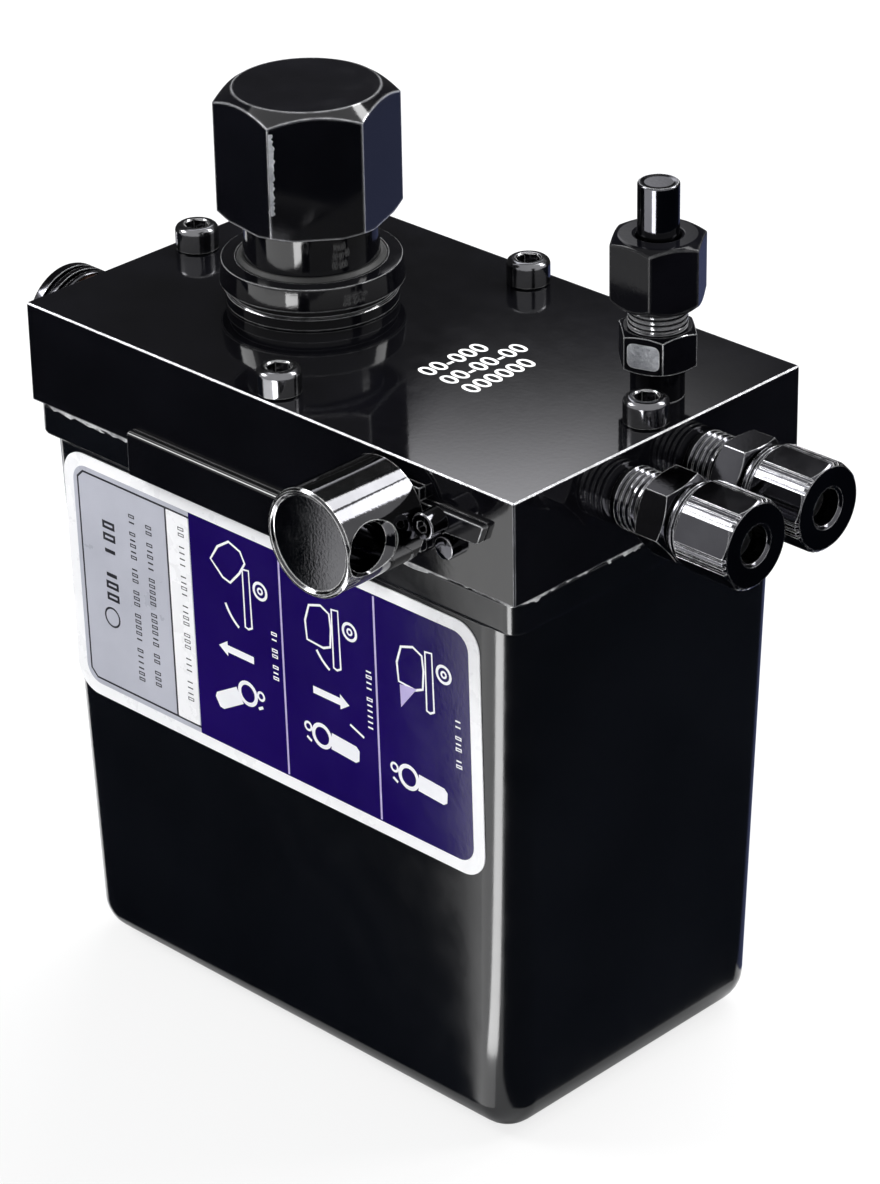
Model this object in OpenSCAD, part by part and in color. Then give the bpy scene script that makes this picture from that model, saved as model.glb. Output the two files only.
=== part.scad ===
// Hand pump with its oil tank, as used to tilt a cab: a flat steel pump block
// closes a rounded, slightly tapered tank. A hexagon head on the block is
// rocked to and fro with a socket bar. Its crank pin drives a plunger that
// lies across the block, and a turning spool sends the oil to port A or B.
// Millimetres, +Z up. Origin: centre of the tank's underside.

/* [Tank] */
// Height from the underside of the tank to its sealing face
tank_h = 138.4; // [120:0.1:180]
// Width of the tank under its rim
tank_top_w = 146; // [142:0.5:147]
// Depth of the tank under its rim
tank_top_d = 88; // [86:0.5:88]
// Width of the tank at its foot
tank_foot_w = 138; // [130:0.5:144]
// Depth of the tank at its foot
tank_foot_d = 84; // [78:0.5:87]
// Wall thickness
tank_wall = 2.5; // [2:0.1:3.5]
// Radius round the foot
foot_r = 9; // [6:0.5:12]
// Radius of the upright edges at the top
edge_r = 6; // [4.5:0.5:8]
// Height of the rim that carries the block
rim_h = 7.4; // [5:0.1:10]
// How far the rim stays inside the block's edge
rim_inset = 0.5; // [0.2:0.1:1]

/* [Pump block] */
// Width of the block
block_w = 150; // [150:0.5:154]
// Depth of the block
block_d = 90; // [90:0.5:92]
// Thickness of the block
block_t = 24; // [24:0.5:28]
// Thickness of the gasket under the block
gasket_t = 0.6; // [0.4:0.1:1.5]
// Length of the cover screws under their heads
cover_screw_l = 40; // [36:1:45]

/* [Drive] */
// Shaft axis, from the middle of the block towards +X
drive_x = -29.5; // [-31:0.5:-28]
// Shaft axis, from the middle of the block towards +Y
drive_y = 0.5; // [0:0.1:1]
// Width across flats of the hexagon head
hex_af = 36; // [32:0.5:38]
// Height of the hexagon head
hex_h = 29.5; // [20:0.5:35]
// Diameter of the neck under the head
neck_d = 30.7; // [30:0.1:31]
// Distance from the shaft axis to the crank pin
crank_r = 9; // [8:0.1:9]

/* [Selector] */
// Selector axis, towards +X
selector_x = 40.3; // [40:0.1:41]
// Depth of the selector axis under the block's top
selector_depth = 11.55; // [11:0.05:12]
// Diameter of the knob
knob_d = 24.3; // [22:0.1:26]
// Length of the knob
knob_l = 22.4; // [20:0.1:26]
// Diameter of the cross hole for a bar
cross_hole_d = 11; // [6:0.5:11]

/* [Ports] */
// Port A, from the middle of the block towards +Y
port_a_y = -9.7; // [-10:0.1:-9.5]
// Port B, from the middle of the block towards +Y
port_b_y = 13.3; // [13.2:0.1:13.5]
// Depth of both port axes under the block's top
port_depth = 11; // [10.5:0.1:11.5]
// Tube diameter that the port nuts take
port_tube_d = 8; // [6:0.5:8]
// Top fitting, towards +X
top_x = 61.5; // [60.5:0.1:61.5]
// Top fitting, towards +Y
top_y = 14; // [13.5:0.1:15]

/* [Hidden] */
$fn = 64;

// Play of a running fit and of a fixed fit, on the radius
run_fit = 0.05;
fixed_fit = 0.03;
// A cut runs this far past the face it opens
past = 1;

// Heights
block_top = tank_h + gasket_t + block_t;
block_under = tank_h + gasket_t;

// Cover screws, four M6 socket heads
cover_screw_at = [[-block_w/2 + 6, 2], [block_w/2 - 6, 2],
                  [1, -block_d/2 + 5.5], [1, block_d/2 - 6.5]];
m6_d = 6;
m6_hole_d = 6.4;

// Drive shaft, heights from the block's top
collar_low_d = 39;
collar_top_d = 40.6;
collar_mid_d = 41.8;
collar_groove_d = 37.5;
collar_h = 10.5;
spigot_d = 34;
spigot_l = 6.5;
journal_d = 26;
bush_d = 29.6;
bush_flange_d = 32;
shoulder_z = 5.5;
shoulder_d = 33;
shoulder_t = 1.8;
collar_bore_d = 33.6;
neck_h = 21;
crank_pin_d = 7.6;
hex_turn = -8.8;

// Plunger, along X under the crank pin
plunger_d = 11;
plunger_y = drive_y - crank_r + 0.3;
plunger_z = -13;
plunger_left = drive_x - 24;
plunger_right = drive_x + 26.5;
chamber_end = plunger_right + 13.5;
slot_w = crank_pin_d + 0.6;
slot_floor = -15.4;
crank_pin_end = -15;
plug_l = 8;
plug_from = 1.9;

// Valves beside the pump chamber
suction_x = chamber_end - 4.5;
delivery_x = chamber_end;
relief_x = chamber_end + 15.5;
ball_d = 5;
seat_hole_d = 3;
seat_top = 4.6;
ball_rise = sqrt(pow(ball_d/2, 2) - pow(seat_hole_d/2, 2)) + 0.02;
tube_d = 8;
strainer_z = 11;

// Selector spool, along Y
spool_d = 14;
spool_front = -block_d/2 + 0.3;
spool_rear = 24;
stem_d = 10;
stem_end = spool_front - 11.3;
keeper_t = 2;
keeper_groove_d = 8;
knob_back = -block_d/2 - keeper_t - 0.6;
drain_y = -1;
rear_drain_y = 19.5;
throw = 45;
stop_r = 9;
stop_d = 3;
detent_r = 4.2;

// Filler, on the left face
filler_y = -25;
filler_z = -12;
filler_d = 16;

// Plate and finger beside the knob
keeper_screw_at = [55.5, -9.2];
locating_pin_at = [57.3, -15.2];

// Port fittings, lengths from the block's right face
port_thread_d = 14;
port_thread_in = 6.5;
port_thread_pitch = 1.5;
port_hex_from = 9;
port_hex_to = 16.8;
port_hex_af = 17;
port_hex_turn = [41, 30];
port_nut_from = 17.4;
port_nut_to = 34.5;
port_nut_d = 19.8;
port_nut_af = 18.8;
port_nut_turn = [40, 42];
land_from = 3.2;

// Top fitting, heights from the block's top
top_neck_d = 11.7;
top_hex_from = 7.3;
top_hex_to = 16.1;
top_hex_af = 15.6;
top_hex_turn = 18.5;
top_nut_af = 19;
top_nut_turn = 1.7;
top_nut_from = 21;
top_nut_to = 37;
stub_d = 9;
stub_top = 48.6;

// Two M8 holes in the rear face bolt the pump to its bracket
bracket_hole_x = 55;
bracket_hole_z = -12;
m8_d = 8;

// Front plate and label
strip_x = [-41, 34];
strip_z = [-31, -20.5];
strip_t = 2;
label_x = [-66.5, 63.8];
label_z = [-95.5, -33];
label_r = 6.5;
label_t = 0.4;
shoulder_top = tank_h - rim_h;
// Slope of the tank's front, tangent to the foot's round
front_rise = shoulder_top - foot_r;
front_run = tank_top_d/2 - (tank_foot_d/2 - foot_r);
front_slope = atan(front_run/front_rise) - asin(foot_r/norm([front_run, front_rise]));

// ---------- places ----------

module on_block(x, y, z = 0) { translate([x, y, block_top + z]) children(); }
module along_x(x, y, z) { on_block(x, y, z) rotate([0, 90, 0]) children(); }
module along_y(x, y, z) { on_block(x, y, z) rotate([-90, 0, 0]) children(); }

// ---------- repeated shapes ----------

module ring(outer, inner, h) {
    difference() {
        cylinder(d = outer, h = h);
        translate([0, 0, -past]) cylinder(d = inner, h = h + 2*past);
    }
}

module o_ring(inner, cord) {
    rotate_extrude() translate([(inner + cord)/2, 0]) circle(d = cord);
}

// Groove cut round a shaft, centred on z = 0
module groove(shaft, floor_d, w) {
    translate([0, 0, -w/2]) difference() {
        cylinder(d = shaft + 2*past, h = w);
        translate([0, 0, -past]) cylinder(d = floor_d, h = w + 2*past);
    }
}

// Hexagon with turned corners: top_d and low_d are the flat circles left on
// its ends, top_drop and low_drop how far the corners fall away
module turned_hex(af, h, top_d, top_drop, low_d, low_drop) {
    corner = af/cos(30)/2;
    intersection() {
        cylinder(r = corner, h = h, $fn = 6);
        rotate_extrude() polygon([
            [0, 0], [low_d/2, 0], [corner + 0.2, low_drop],
            [corner + 0.2, h - top_drop], [top_d/2, h], [0, h]
        ]);
    }
}

module hex_socket(af, depth) {
    translate([0, 0, -depth]) cylinder(d = af/cos(30), h = depth + past, $fn = 6);
}

// Slab with four round upright corners, centred on x and y
module round_slab(w, d, r, h) {
    translate([-w/2, -d/2 + r, 0]) cube([w, d - 2*r, h]);
    translate([-w/2 + r, -d/2, 0]) cube([w - 2*r, d, h]);
    for (sx = [-1, 1], sy = [-1, 1])
        translate([sx*(w/2 - r), sy*(d/2 - r), 0]) cylinder(r = r, h = h);
}

// Compression spring: one wire ring for every step along the coil
coil_steps = 12;
coil_sides = 6;
function coil_point(r, wire, l, turns, i, j) =
    let (a = 360*i/coil_steps,
         b = 360*j/coil_sides,
         rr = r + wire/2*cos(b),
         z = wire/2 + (l - wire)*i/(turns*coil_steps) + wire/2*sin(b))
    [rr*cos(a), rr*sin(a), z];

module coil_spring(od, wire, l, turns) {
    r = (od - wire)/2;
    n = turns*coil_steps;
    s = coil_sides;
    polyhedron(
        points = [for (i = [0:n], j = [0:s-1]) coil_point(r, wire, l, turns, i, j)],
        faces = concat(
            [[for (j = [0:s-1]) j]],
            [for (i = [0:n-1], j = [0:s-1])
                [i*s + j, (i + 1)*s + j, (i + 1)*s + (j + 1) % s, i*s + (j + 1) % s]],
            [[for (j = [s-1:-1:0]) n*s + j]]
        ),
        convexity = 8
    );
}

// ---------- tank ----------

// Tapered body, or the same body inside its wall
module tank_form(inset) {
    hull() {
        for (sx = [-1, 1], sy = [-1, 1]) {
            translate([sx*(tank_foot_w/2 - foot_r), sy*(tank_foot_d/2 - foot_r), foot_r])
                sphere(r = foot_r - inset, $fn = 32);
            translate([sx*(tank_top_w/2 - edge_r), sy*(tank_top_d/2 - edge_r), shoulder_top - 0.5])
                cylinder(r = edge_r - inset, h = 0.5, $fn = 32);
        }
    }
}

module tank_mouth(h) {
    round_slab(tank_top_w - 2*tank_wall, tank_top_d - 2*tank_wall, edge_r - tank_wall, h);
}

module tank_outside() {
    tank_form(0);
    translate([0, 0, shoulder_top])
        round_slab(block_w - 2*rim_inset, block_d - 2*rim_inset, 4, rim_h);
}

module tank() {
    boss_from = block_top - cover_screw_l - 4;
    color([0.06, 0.06, 0.065]) difference() {
        union() {
            difference() {
                tank_outside();
                tank_form(tank_wall);
                translate([0, 0, shoulder_top - 0.5]) tank_mouth(rim_h + past);
            }
            intersection() {
                tank_outside();
                for (p = cover_screw_at)
                    translate([p.x, p.y, boss_from]) cylinder(d = 11.5, h = tank_h - boss_from);
            }
        }
        for (p = cover_screw_at)
            translate([p.x, p.y, boss_from + 2])
                cylinder(d = m6_d + 2*fixed_fit, h = tank_h - boss_from);
    }
}

module tank_gasket() {
    color([0.72, 0.73, 0.75]) translate([0, 0, tank_h]) difference() {
        round_slab(block_w - 2*rim_inset, block_d - 2*rim_inset, 4, gasket_t);
        difference() {
            translate([0, 0, -past]) tank_mouth(gasket_t + 2*past);
            for (p = cover_screw_at)
                translate([p.x, p.y, -2*past]) cylinder(d = 12, h = gasket_t + 4*past);
        }
        for (p = cover_screw_at)
            translate([p.x, p.y, -past]) cylinder(d = m6_hole_d, h = gasket_t + 2*past);
    }
}

// ---------- pump block ----------

module shaft_cuts() {
    on_block(drive_x, drive_y, -7) cylinder(d = spigot_d + 2*fixed_fit, h = 7 + past);
    on_block(drive_x, drive_y, -19) cylinder(d = 27, h = 13);
    on_block(drive_x, drive_y, -block_t - past) cylinder(d = 10, h = block_t - 19 + 2*past);
}

module plunger_cuts() {
    along_x(-block_w/2 - past, plunger_y, plunger_z)
        cylinder(d = plunger_d + 2*run_fit, h = chamber_end + block_w/2 + past);
    along_x(-block_w/2 + 0.8, plunger_y, plunger_z) cylinder(d = plunger_d + 1.4, h = 1.1);
    // Vent of the idle end
    on_block(-block_w/2 + 15, plunger_y, -block_t - past) cylinder(d = 4, h = block_t + plunger_z + past);
    // Delivery valve and the way to the spool
    along_x(chamber_end - past, plunger_y, plunger_z) cylinder(d = 8 + 2*fixed_fit, h = 18 + past);
    along_x(chamber_end, plunger_y, plunger_z) cylinder(d = 4.5, h = selector_x - chamber_end - 3);
    // Suction valve
    on_block(suction_x, plunger_y, -block_t - past) cylinder(d = 10 + 2*fixed_fit, h = 5 + past);
    on_block(suction_x, plunger_y, -block_t) cylinder(d = 8.1, h = block_t - 5);
    // Relief valve
    on_block(relief_x, plunger_y, -block_t - past) cylinder(d = 12 + 2*fixed_fit, h = 6 + past);
    on_block(relief_x, plunger_y, -block_t) cylinder(d = 4, h = block_t + plunger_z);
}

module selector_cuts() {
    along_y(selector_x, -block_d/2 - past, -selector_depth)
        cylinder(d = spool_d + 2*run_fit, h = block_d/2 + spool_rear + 0.2 + past);
    // Face detent, screwed in from the rear
    along_y(selector_x + detent_r, spool_rear, -selector_depth) cylinder(d = 6.3, h = 14);
    along_y(selector_x + detent_r, block_d/2 - 8.5, -selector_depth)
        cylinder(d = 8 + 2*fixed_fit, h = 8.5 + past);
    // Drains to the tank
    on_block(selector_x, drain_y, -block_t - past) cylinder(d = 5, h = block_t - selector_depth + past);
    on_block(selector_x, drain_y, -block_t - past) cylinder(d = tube_d + 2*fixed_fit, h = 4 + past);
    on_block(selector_x, rear_drain_y, -block_t - past) cylinder(d = 3.5, h = block_t - selector_depth + past);
    // Keeper screw, locating pin and stop dowel
    along_y(keeper_screw_at.x, -block_d/2 - past, keeper_screw_at.y)
        cylinder(d = 4 + 2*fixed_fit, h = 9 + past);
    along_y(locating_pin_at.x, -block_d/2 - past, locating_pin_at.y)
        cylinder(d = 5.5 + 2*fixed_fit, h = 6 + past);
    along_y(selector_x - stop_r, -block_d/2 - past, -selector_depth)
        cylinder(d = stop_d + 2*fixed_fit, h = 6 + past);
}

module port_cuts() {
    for (y = [port_a_y, port_b_y]) {
        along_x(block_w/2 - port_thread_in - 0.5, y, -port_depth)
            cylinder(d = port_thread_d + 2*fixed_fit, h = port_thread_in + 0.5 + past);
        along_x(selector_x, y, -port_depth) cylinder(d = 6, h = block_w/2 - selector_x - 5);
    }
    on_block(top_x, top_y, -8.5) cylinder(d = 10 + 2*fixed_fit, h = 8.5 + past);
    on_block(top_x, top_y, -port_depth) cylinder(d = 5, h = port_depth);
}

module filler_cuts() {
    along_x(-block_w/2 - past, filler_y, filler_z) cylinder(d = filler_d + 2*fixed_fit, h = 16 + past);
    on_block(-block_w/2 + 11.5, filler_y, -block_t - past) cylinder(d = 8, h = block_t + filler_z + past);
}

module bracket_cuts() {
    for (sx = [-1, 1])
        along_y(sx*bracket_hole_x, block_d/2 - 14, bracket_hole_z) cylinder(d = m8_d, h = 14 + past);
}

module pump_block() {
    color([0.07, 0.07, 0.075]) difference() {
        translate([-block_w/2, -block_d/2, block_under]) cube([block_w, block_d, block_t]);
        for (p = cover_screw_at)
            on_block(p.x, p.y, -block_t - past) cylinder(d = m6_hole_d, h = block_t + 2*past);
        shaft_cuts();
        plunger_cuts();
        selector_cuts();
        port_cuts();
        filler_cuts();
        bracket_cuts();
    }
}

module cover_screws() {
    color([0.5, 0.5, 0.52]) for (p = cover_screw_at) on_block(p.x, p.y) difference() {
        union() {
            cylinder(d1 = 10, d2 = 10, h = 5.4);
            translate([0, 0, 5.4]) cylinder(d1 = 10, d2 = 9, h = 0.6);
            translate([0, 0, -cover_screw_l]) cylinder(d = m6_d, h = cover_screw_l);
        }
        translate([0, 0, 6]) hex_socket(5, 3.5);
    }
}

module front_strip() {
    color([0.08, 0.08, 0.085])
        translate([strip_x[0], -block_d/2 - strip_t, block_top + strip_z[0]])
            cube([strip_x[1] - strip_x[0], strip_t, strip_z[1] - strip_z[0]]);
}

module label_plate() {
    mid_x = (label_x[0] + label_x[1])/2;
    mid_z = block_top + (label_z[0] + label_z[1])/2;
    drop = shoulder_top - mid_z;
    color([0.45, 0.42, 0.62])
        translate([mid_x, -tank_top_d/2 + drop*tan(front_slope) - 0.02, mid_z])
            rotate([90 + front_slope, 0, 0])
                round_slab(label_x[1] - label_x[0], label_z[1] - label_z[0], label_r, label_t);
}

// ---------- drive ----------

module shaft_collar() {
    color([0.1, 0.1, 0.105]) on_block(drive_x, drive_y) difference() {
        union() {
            translate([0, 0, -spigot_l]) cylinder(d = spigot_d, h = spigot_l + past);
            cylinder(d = collar_low_d, h = 3);
            cylinder(d = collar_groove_d, h = 6);
            translate([0, 0, 5]) cylinder(d = collar_mid_d, h = 1);
            translate([0, 0, 6]) cylinder(d1 = collar_mid_d, d2 = collar_top_d, h = collar_h - 6);
        }
        translate([0, 0, -spigot_l - past]) cylinder(d = bush_d + 2*fixed_fit, h = 20);
        translate([0, 0, shoulder_z - 1]) cylinder(d = collar_bore_d, h = collar_h);
        translate([0, 0, 7.4]) cylinder(d = 36.2, h = 1.3);
    }
}

module shaft_bush() {
    color([0.72, 0.5, 0.22]) on_block(drive_x, drive_y, -6) difference() {
        union() {
            cylinder(d = bush_d, h = 11.4);
            translate([0, 0, 10.5]) cylinder(d = bush_flange_d, h = 0.9);
        }
        translate([0, 0, -past]) cylinder(d = journal_d + 2*run_fit, h = 20);
    }
}

// Internal ring that holds the shaft's shoulder down, split at the rear
module shaft_retaining_ring() {
    color([0.35, 0.35, 0.37]) on_block(drive_x, drive_y, 7.45) difference() {
        ring(36, 31.5, 1.2);
        translate([-4, 12, -past]) cube([8, 8, 4]);
    }
}

module shaft_dust_seal() {
    color([0.05, 0.05, 0.05]) on_block(drive_x, drive_y, 8.8) difference() {
        union() {
            cylinder(d = collar_bore_d - 2*fixed_fit, h = 1.7);
            translate([0, 0, 1.7]) cylinder(d1 = 33.2, d2 = 31.9, h = 0.8);
        }
        translate([0, 0, -past]) cylinder(d = neck_d + 0.16, h = 5);
    }
}

module drive_shaft() {
    hex_z = neck_h;
    color([0.08, 0.08, 0.085]) on_block(drive_x, drive_y) difference() {
        union() {
            translate([0, 0, hex_z]) rotate(hex_turn)
                turned_hex(hex_af, hex_h, 33.5, 2.8, 38, 0.9);
            translate([0, 0, shoulder_z]) cylinder(d = neck_d, h = neck_h - shoulder_z + past);
            translate([0, 0, shoulder_z]) cylinder(d = shoulder_d, h = shoulder_t);
            translate([0, 0, -6.8]) cylinder(d = journal_d, h = shoulder_z + 6.8 + past);
            translate([0, -crank_r, crank_pin_end]) cylinder(d = crank_pin_d, h = -crank_pin_end - 6);
        }
        translate([0, 0, -2]) groove(journal_d, 23, 2);
    }
}

module shaft_oil_seal() {
    color([0.05, 0.05, 0.05]) on_block(drive_x, drive_y, -2) o_ring(23.1, 1.4);
}

plunger_seal_x = [plunger_left + 4.5, plunger_right - 5];

module plunger() {
    l = plunger_right - plunger_left;
    color([0.78, 0.79, 0.8]) difference() {
        along_x(plunger_left, plunger_y, plunger_z) union() {
            cylinder(d1 = plunger_d - 1, d2 = plunger_d, h = 0.5);
            translate([0, 0, 0.5]) cylinder(d = plunger_d, h = l - 1);
            translate([0, 0, l - 0.5]) cylinder(d1 = plunger_d, d2 = plunger_d - 1, h = 0.5);
        }
        on_block(drive_x - slot_w/2, plunger_y - 10, slot_floor) cube([slot_w, 20, 20]);
        for (x = plunger_seal_x) along_x(x, plunger_y, plunger_z) groove(plunger_d, 8.2, 1.9);
    }
}

module plunger_seals() {
    color([0.05, 0.05, 0.05])
        for (x = plunger_seal_x) along_x(x, plunger_y, plunger_z) o_ring(8.3, 1.33);
}

module bore_end_plug() {
    color([0.3, 0.3, 0.32]) along_x(-block_w/2 + plug_from, plunger_y, plunger_z) difference() {
        cylinder(d = plunger_d, h = plug_l);
        rotate([180, 0, 0]) cylinder(d = 4.2, h = 2*past, center = true);
        translate([0, 0, plug_l - 2.4]) groove(plunger_d, 8.2, 1.9);
    }
}

module end_plug_seal() {
    color([0.05, 0.05, 0.05])
        along_x(-block_w/2 + plug_from + plug_l - 2.4, plunger_y, plunger_z) o_ring(8.3, 1.33);
}

// Split ring in a groove of the bore that keeps the plug in
module end_plug_ring() {
    color([0.35, 0.35, 0.37]) along_x(-block_w/2 + 0.85, plunger_y, plunger_z) difference() {
        ring(plunger_d + 1.3, 8.6, 1);
        translate([-8, -1.5, -past]) cube([8, 3, 4]);
    }
}

// ---------- valves ----------

module suction_seat() {
    color([0.76, 0.62, 0.3]) on_block(suction_x, plunger_y, -block_t) difference() {
        union() {
            cylinder(d = 10, h = seat_top);
            translate([0, 0, -5]) turned_hex(14, 5, 13.4, 0.5, 13, 0.8);
        }
        translate([0, 0, -past]) cylinder(d = seat_hole_d, h = 10);
        translate([0, 0, -6]) cylinder(d = tube_d + 2*fixed_fit, h = 8.5);
    }
}

module suction_ball() {
    color([0.8, 0.8, 0.82])
        on_block(suction_x, plunger_y, -block_t + seat_top + ball_rise) sphere(d = ball_d);
}

module suction_spring() {
    z = -block_t + seat_top + ball_rise + ball_d/2 + 0.05;
    color([0.6, 0.6, 0.62]) on_block(suction_x, plunger_y, z) coil_spring(4.6, 0.6, -5.05 - z, 5);
}

tube_low_z = strainer_z + 10;

module suction_tube() {
    color([0.62, 0.63, 0.65]) translate([suction_x, plunger_y, tube_low_z])
        ring(tube_d, 5.5, block_under + 2.4 - tube_low_z);
}

// Cup of slotted sheet round the foot of the suction tube
module suction_strainer() {
    color([0.66, 0.6, 0.42]) translate([suction_x, plunger_y, strainer_z]) difference() {
        union() {
            cylinder(d = 24, h = 15);
            translate([0, 0, 15]) cylinder(d = 12, h = 5);
        }
        translate([0, 0, 1]) cylinder(d = 22, h = 13);
        translate([0, 0, 9]) cylinder(d = tube_d + 2*fixed_fit, h = 20);
        for (a = [0:30:330]) rotate(a) translate([8, -1, 3]) cube([6, 2, 9]);
    }
}

module delivery_seat() {
    color([0.76, 0.62, 0.3]) along_x(delivery_x, plunger_y, plunger_z) ring(8, seat_hole_d, 4.5);
}

module delivery_ball() {
    color([0.8, 0.8, 0.82])
        along_x(delivery_x + 4.5 + ball_rise, plunger_y, plunger_z) sphere(d = ball_d);
}

module delivery_spring() {
    x = 4.5 + ball_rise + ball_d/2 + 0.05;
    color([0.6, 0.6, 0.62])
        along_x(delivery_x + x, plunger_y, plunger_z) coil_spring(6.4, 0.7, 17.95 - x, 5);
}

// Cartridge that hangs in the tank, its seat uppermost
module relief_body() {
    color([0.76, 0.62, 0.3]) on_block(relief_x, plunger_y, -block_t) difference() {
        union() {
            cylinder(d = 12, h = 5.8);
            translate([0, 0, -6]) turned_hex(15, 6, 14.4, 0.5, 14.4, 0.5);
            translate([0, 0, -24]) cylinder(d = 13, h = 20);
        }
        translate([0, 0, -past]) cylinder(d = seat_hole_d, h = 10);
        translate([0, 0, -25]) cylinder(d = 8.1, h = 28.5);
        translate([0, 0, -12]) rotate([0, 90, 0]) cylinder(d = 3, h = 20, center = true);
    }
}

module relief_ball() {
    color([0.8, 0.8, 0.82]) on_block(relief_x, plunger_y, -block_t + 3.5 - ball_rise) sphere(d = ball_d);
}

module relief_spring() {
    color([0.6, 0.6, 0.62]) on_block(relief_x, plunger_y, -block_t - 18.95)
        coil_spring(7, 0.9, 18.95 + 3.5 - ball_rise - ball_d/2 - 0.05, 8);
}

module relief_adjuster() {
    color([0.5, 0.5, 0.52]) on_block(relief_x, plunger_y, -block_t - 24) difference() {
        cylinder(d = 8, h = 5);
        rotate([180, 0, 0]) hex_socket(4, 2.5);
    }
}

module return_tube() {
    low = 30;
    color([0.62, 0.63, 0.65]) translate([selector_x, drain_y, low])
        ring(tube_d, 5.5, block_under + 3.9 - low);
}

// ---------- filler ----------

module filler_plug() {
    color([0.08, 0.08, 0.085]) along_x(-block_w/2 - 10, filler_y, filler_z) difference() {
        union() {
            cylinder(d1 = 22.4, d2 = 24, h = 0.8);
            translate([0, 0, 0.8]) cylinder(d = 24, h = 2.2);
            translate([0, 0, 2.8]) cylinder(d = 21, h = 5);
            translate([0, 0, 4.2]) cylinder(d = 24, h = 1.6);
            translate([0, 0, 7]) cylinder(d = 24, h = 1.5);
            translate([0, 0, 8.2]) cylinder(d = filler_d, h = 8.3);
        }
        rotate([180, 0, 0]) hex_socket(8, 5);
    }
}

module filler_washer() {
    color([0.6, 0.42, 0.3]) along_x(-block_w/2 - 1.45, filler_y, filler_z)
        ring(22, filler_d + 0.2, 1.4);
}

// ---------- selector ----------

// One radial hole of the spool at height h, facing angle a
module spool_hole(h, a) { translate([0, 0, h]) rotate(a) rotate([0, 90, 0]) cylinder(d = 3.5, h = 12); }

// One slot along the spool between two heights, facing angle a
module spool_slot(low, high, a) { rotate(a) translate([spool_d/2 - 2, -2, low]) cube([4, 4, high - low]); }

selector_seal_y = [-26, -17.5];

module selector_spool() {
    color([0.7, 0.71, 0.73]) along_y(selector_x, 0, -selector_depth) difference() {
        union() {
            translate([0, 0, spool_front]) cylinder(d = spool_d, h = spool_rear - spool_front);
            translate([0, 0, spool_front - 3]) cylinder(d = keeper_groove_d, h = 4);
            translate([0, 0, stem_end]) cylinder(d = stem_d, h = spool_front - stem_end - 2.6);
        }
        for (y = selector_seal_y) translate([0, 0, y]) groove(spool_d, 11, 1.9);
        // Gallery, the two ways into it and the two ways out
        translate([0, 0, port_a_y - 3]) cylinder(d = 4, h = port_b_y - port_a_y + 6);
        for (a = [-throw, throw]) spool_hole(plunger_y, 180 + a);
        spool_hole(port_a_y, throw);
        spool_hole(port_b_y, -throw);
        // Drain rings and their slots
        translate([0, 0, drain_y]) groove(spool_d, 10, 4);
        spool_slot(port_a_y - 2, drain_y, -throw);
        translate([0, 0, rear_drain_y]) groove(spool_d, 10, 3);
        spool_slot(port_b_y - 2, rear_drain_y, throw);
        // Seats of the detent ball, one for each position
        for (a = [-throw, 0, throw]) rotate(a) translate([detent_r, 0, spool_rear + 1.6]) sphere(d = 5);
        // Hole for the knob's pin
        translate([0, 0, knob_back - 5]) rotate([90, 0, 0]) cylinder(d = 3, h = 20, center = true);
    }
}

module selector_seals() {
    color([0.05, 0.05, 0.05])
        for (y = selector_seal_y) along_y(selector_x, y, -selector_depth) o_ring(11.1, 1.4);
}

module selector_knob() {
    front = knob_back - knob_l;
    color([0.1, 0.1, 0.105]) along_y(selector_x, front, -selector_depth) difference() {
        union() {
            cylinder(d1 = knob_d - 1, d2 = knob_d, h = 0.5);
            translate([0, 0, 0.5]) cylinder(d = knob_d, h = knob_l - 1);
            translate([0, 0, knob_l - 0.5]) cylinder(d1 = knob_d, d2 = knob_d - 1, h = 0.5);
        }
        // Shallow dish inside the rim of the front face
        translate([0, 0, -past]) cylinder(d = knob_d - 3, h = past + 0.6);
        // Hole for the bar
        translate([0, 0, 7.2]) rotate([0, 90, 0]) cylinder(d = cross_hole_d, h = 40, center = true);
        // Stem and its pin
        translate([0, 0, stem_end - front - 0.2]) cylinder(d = stem_d + 2*fixed_fit, h = 20);
        translate([0, 0, knob_l - 5]) rotate([90, 0, 0]) cylinder(d = 3, h = 40, center = true);
        // Curved groove in the back that the stop dowel limits
        translate([0, 0, knob_l - 3.4]) rotate(180 - throw - 14)
            rotate_extrude(angle = 2*(throw + 14)) translate([stop_r - 1.9, 0]) square([3.8, 5]);
    }
}

module knob_pin() {
    color([0.3, 0.3, 0.32]) along_y(selector_x, knob_back - 5, -selector_depth)
        rotate([90, 0, 0]) cylinder(d = 2.94, h = 22, center = true);
}

module keeper_outline() {
    difference() {
        union() {
            translate([33, -selector_depth - 7.5]) square([17, 15]);
            polygon([[49, -11.5], [66.3, -11.5], [68, -7], [49, -7]]);
            translate([keeper_screw_at.x, keeper_screw_at.y]) circle(d = 5.6);
        }
        translate([selector_x, -selector_depth]) circle(d = keeper_groove_d + 0.6);
        translate([selector_x - 20, -selector_depth - keeper_groove_d/2 - 0.3])
            square([20, keeper_groove_d + 0.6]);
        translate([keeper_screw_at.x, keeper_screw_at.y]) circle(d = 4.2);
    }
}

module keeper_plate() {
    color([0.05, 0.05, 0.055]) on_block(0, -block_d/2) rotate([90, 0, 0])
        linear_extrude(keeper_t) keeper_outline();
}

module keeper_screw() {
    color([0.12, 0.12, 0.125])
        along_y(keeper_screw_at.x, -block_d/2 - 7, keeper_screw_at.y) difference() {
            union() {
                cylinder(d1 = 5.4, d2 = 6, h = 0.3);
                translate([0, 0, 0.3]) cylinder(d = 6, h = 4.7);
                translate([0, 0, 5]) cylinder(d = 4, h = 10);
            }
            rotate([180, 0, 0]) hex_socket(2.5, 2);
        }
}

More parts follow.
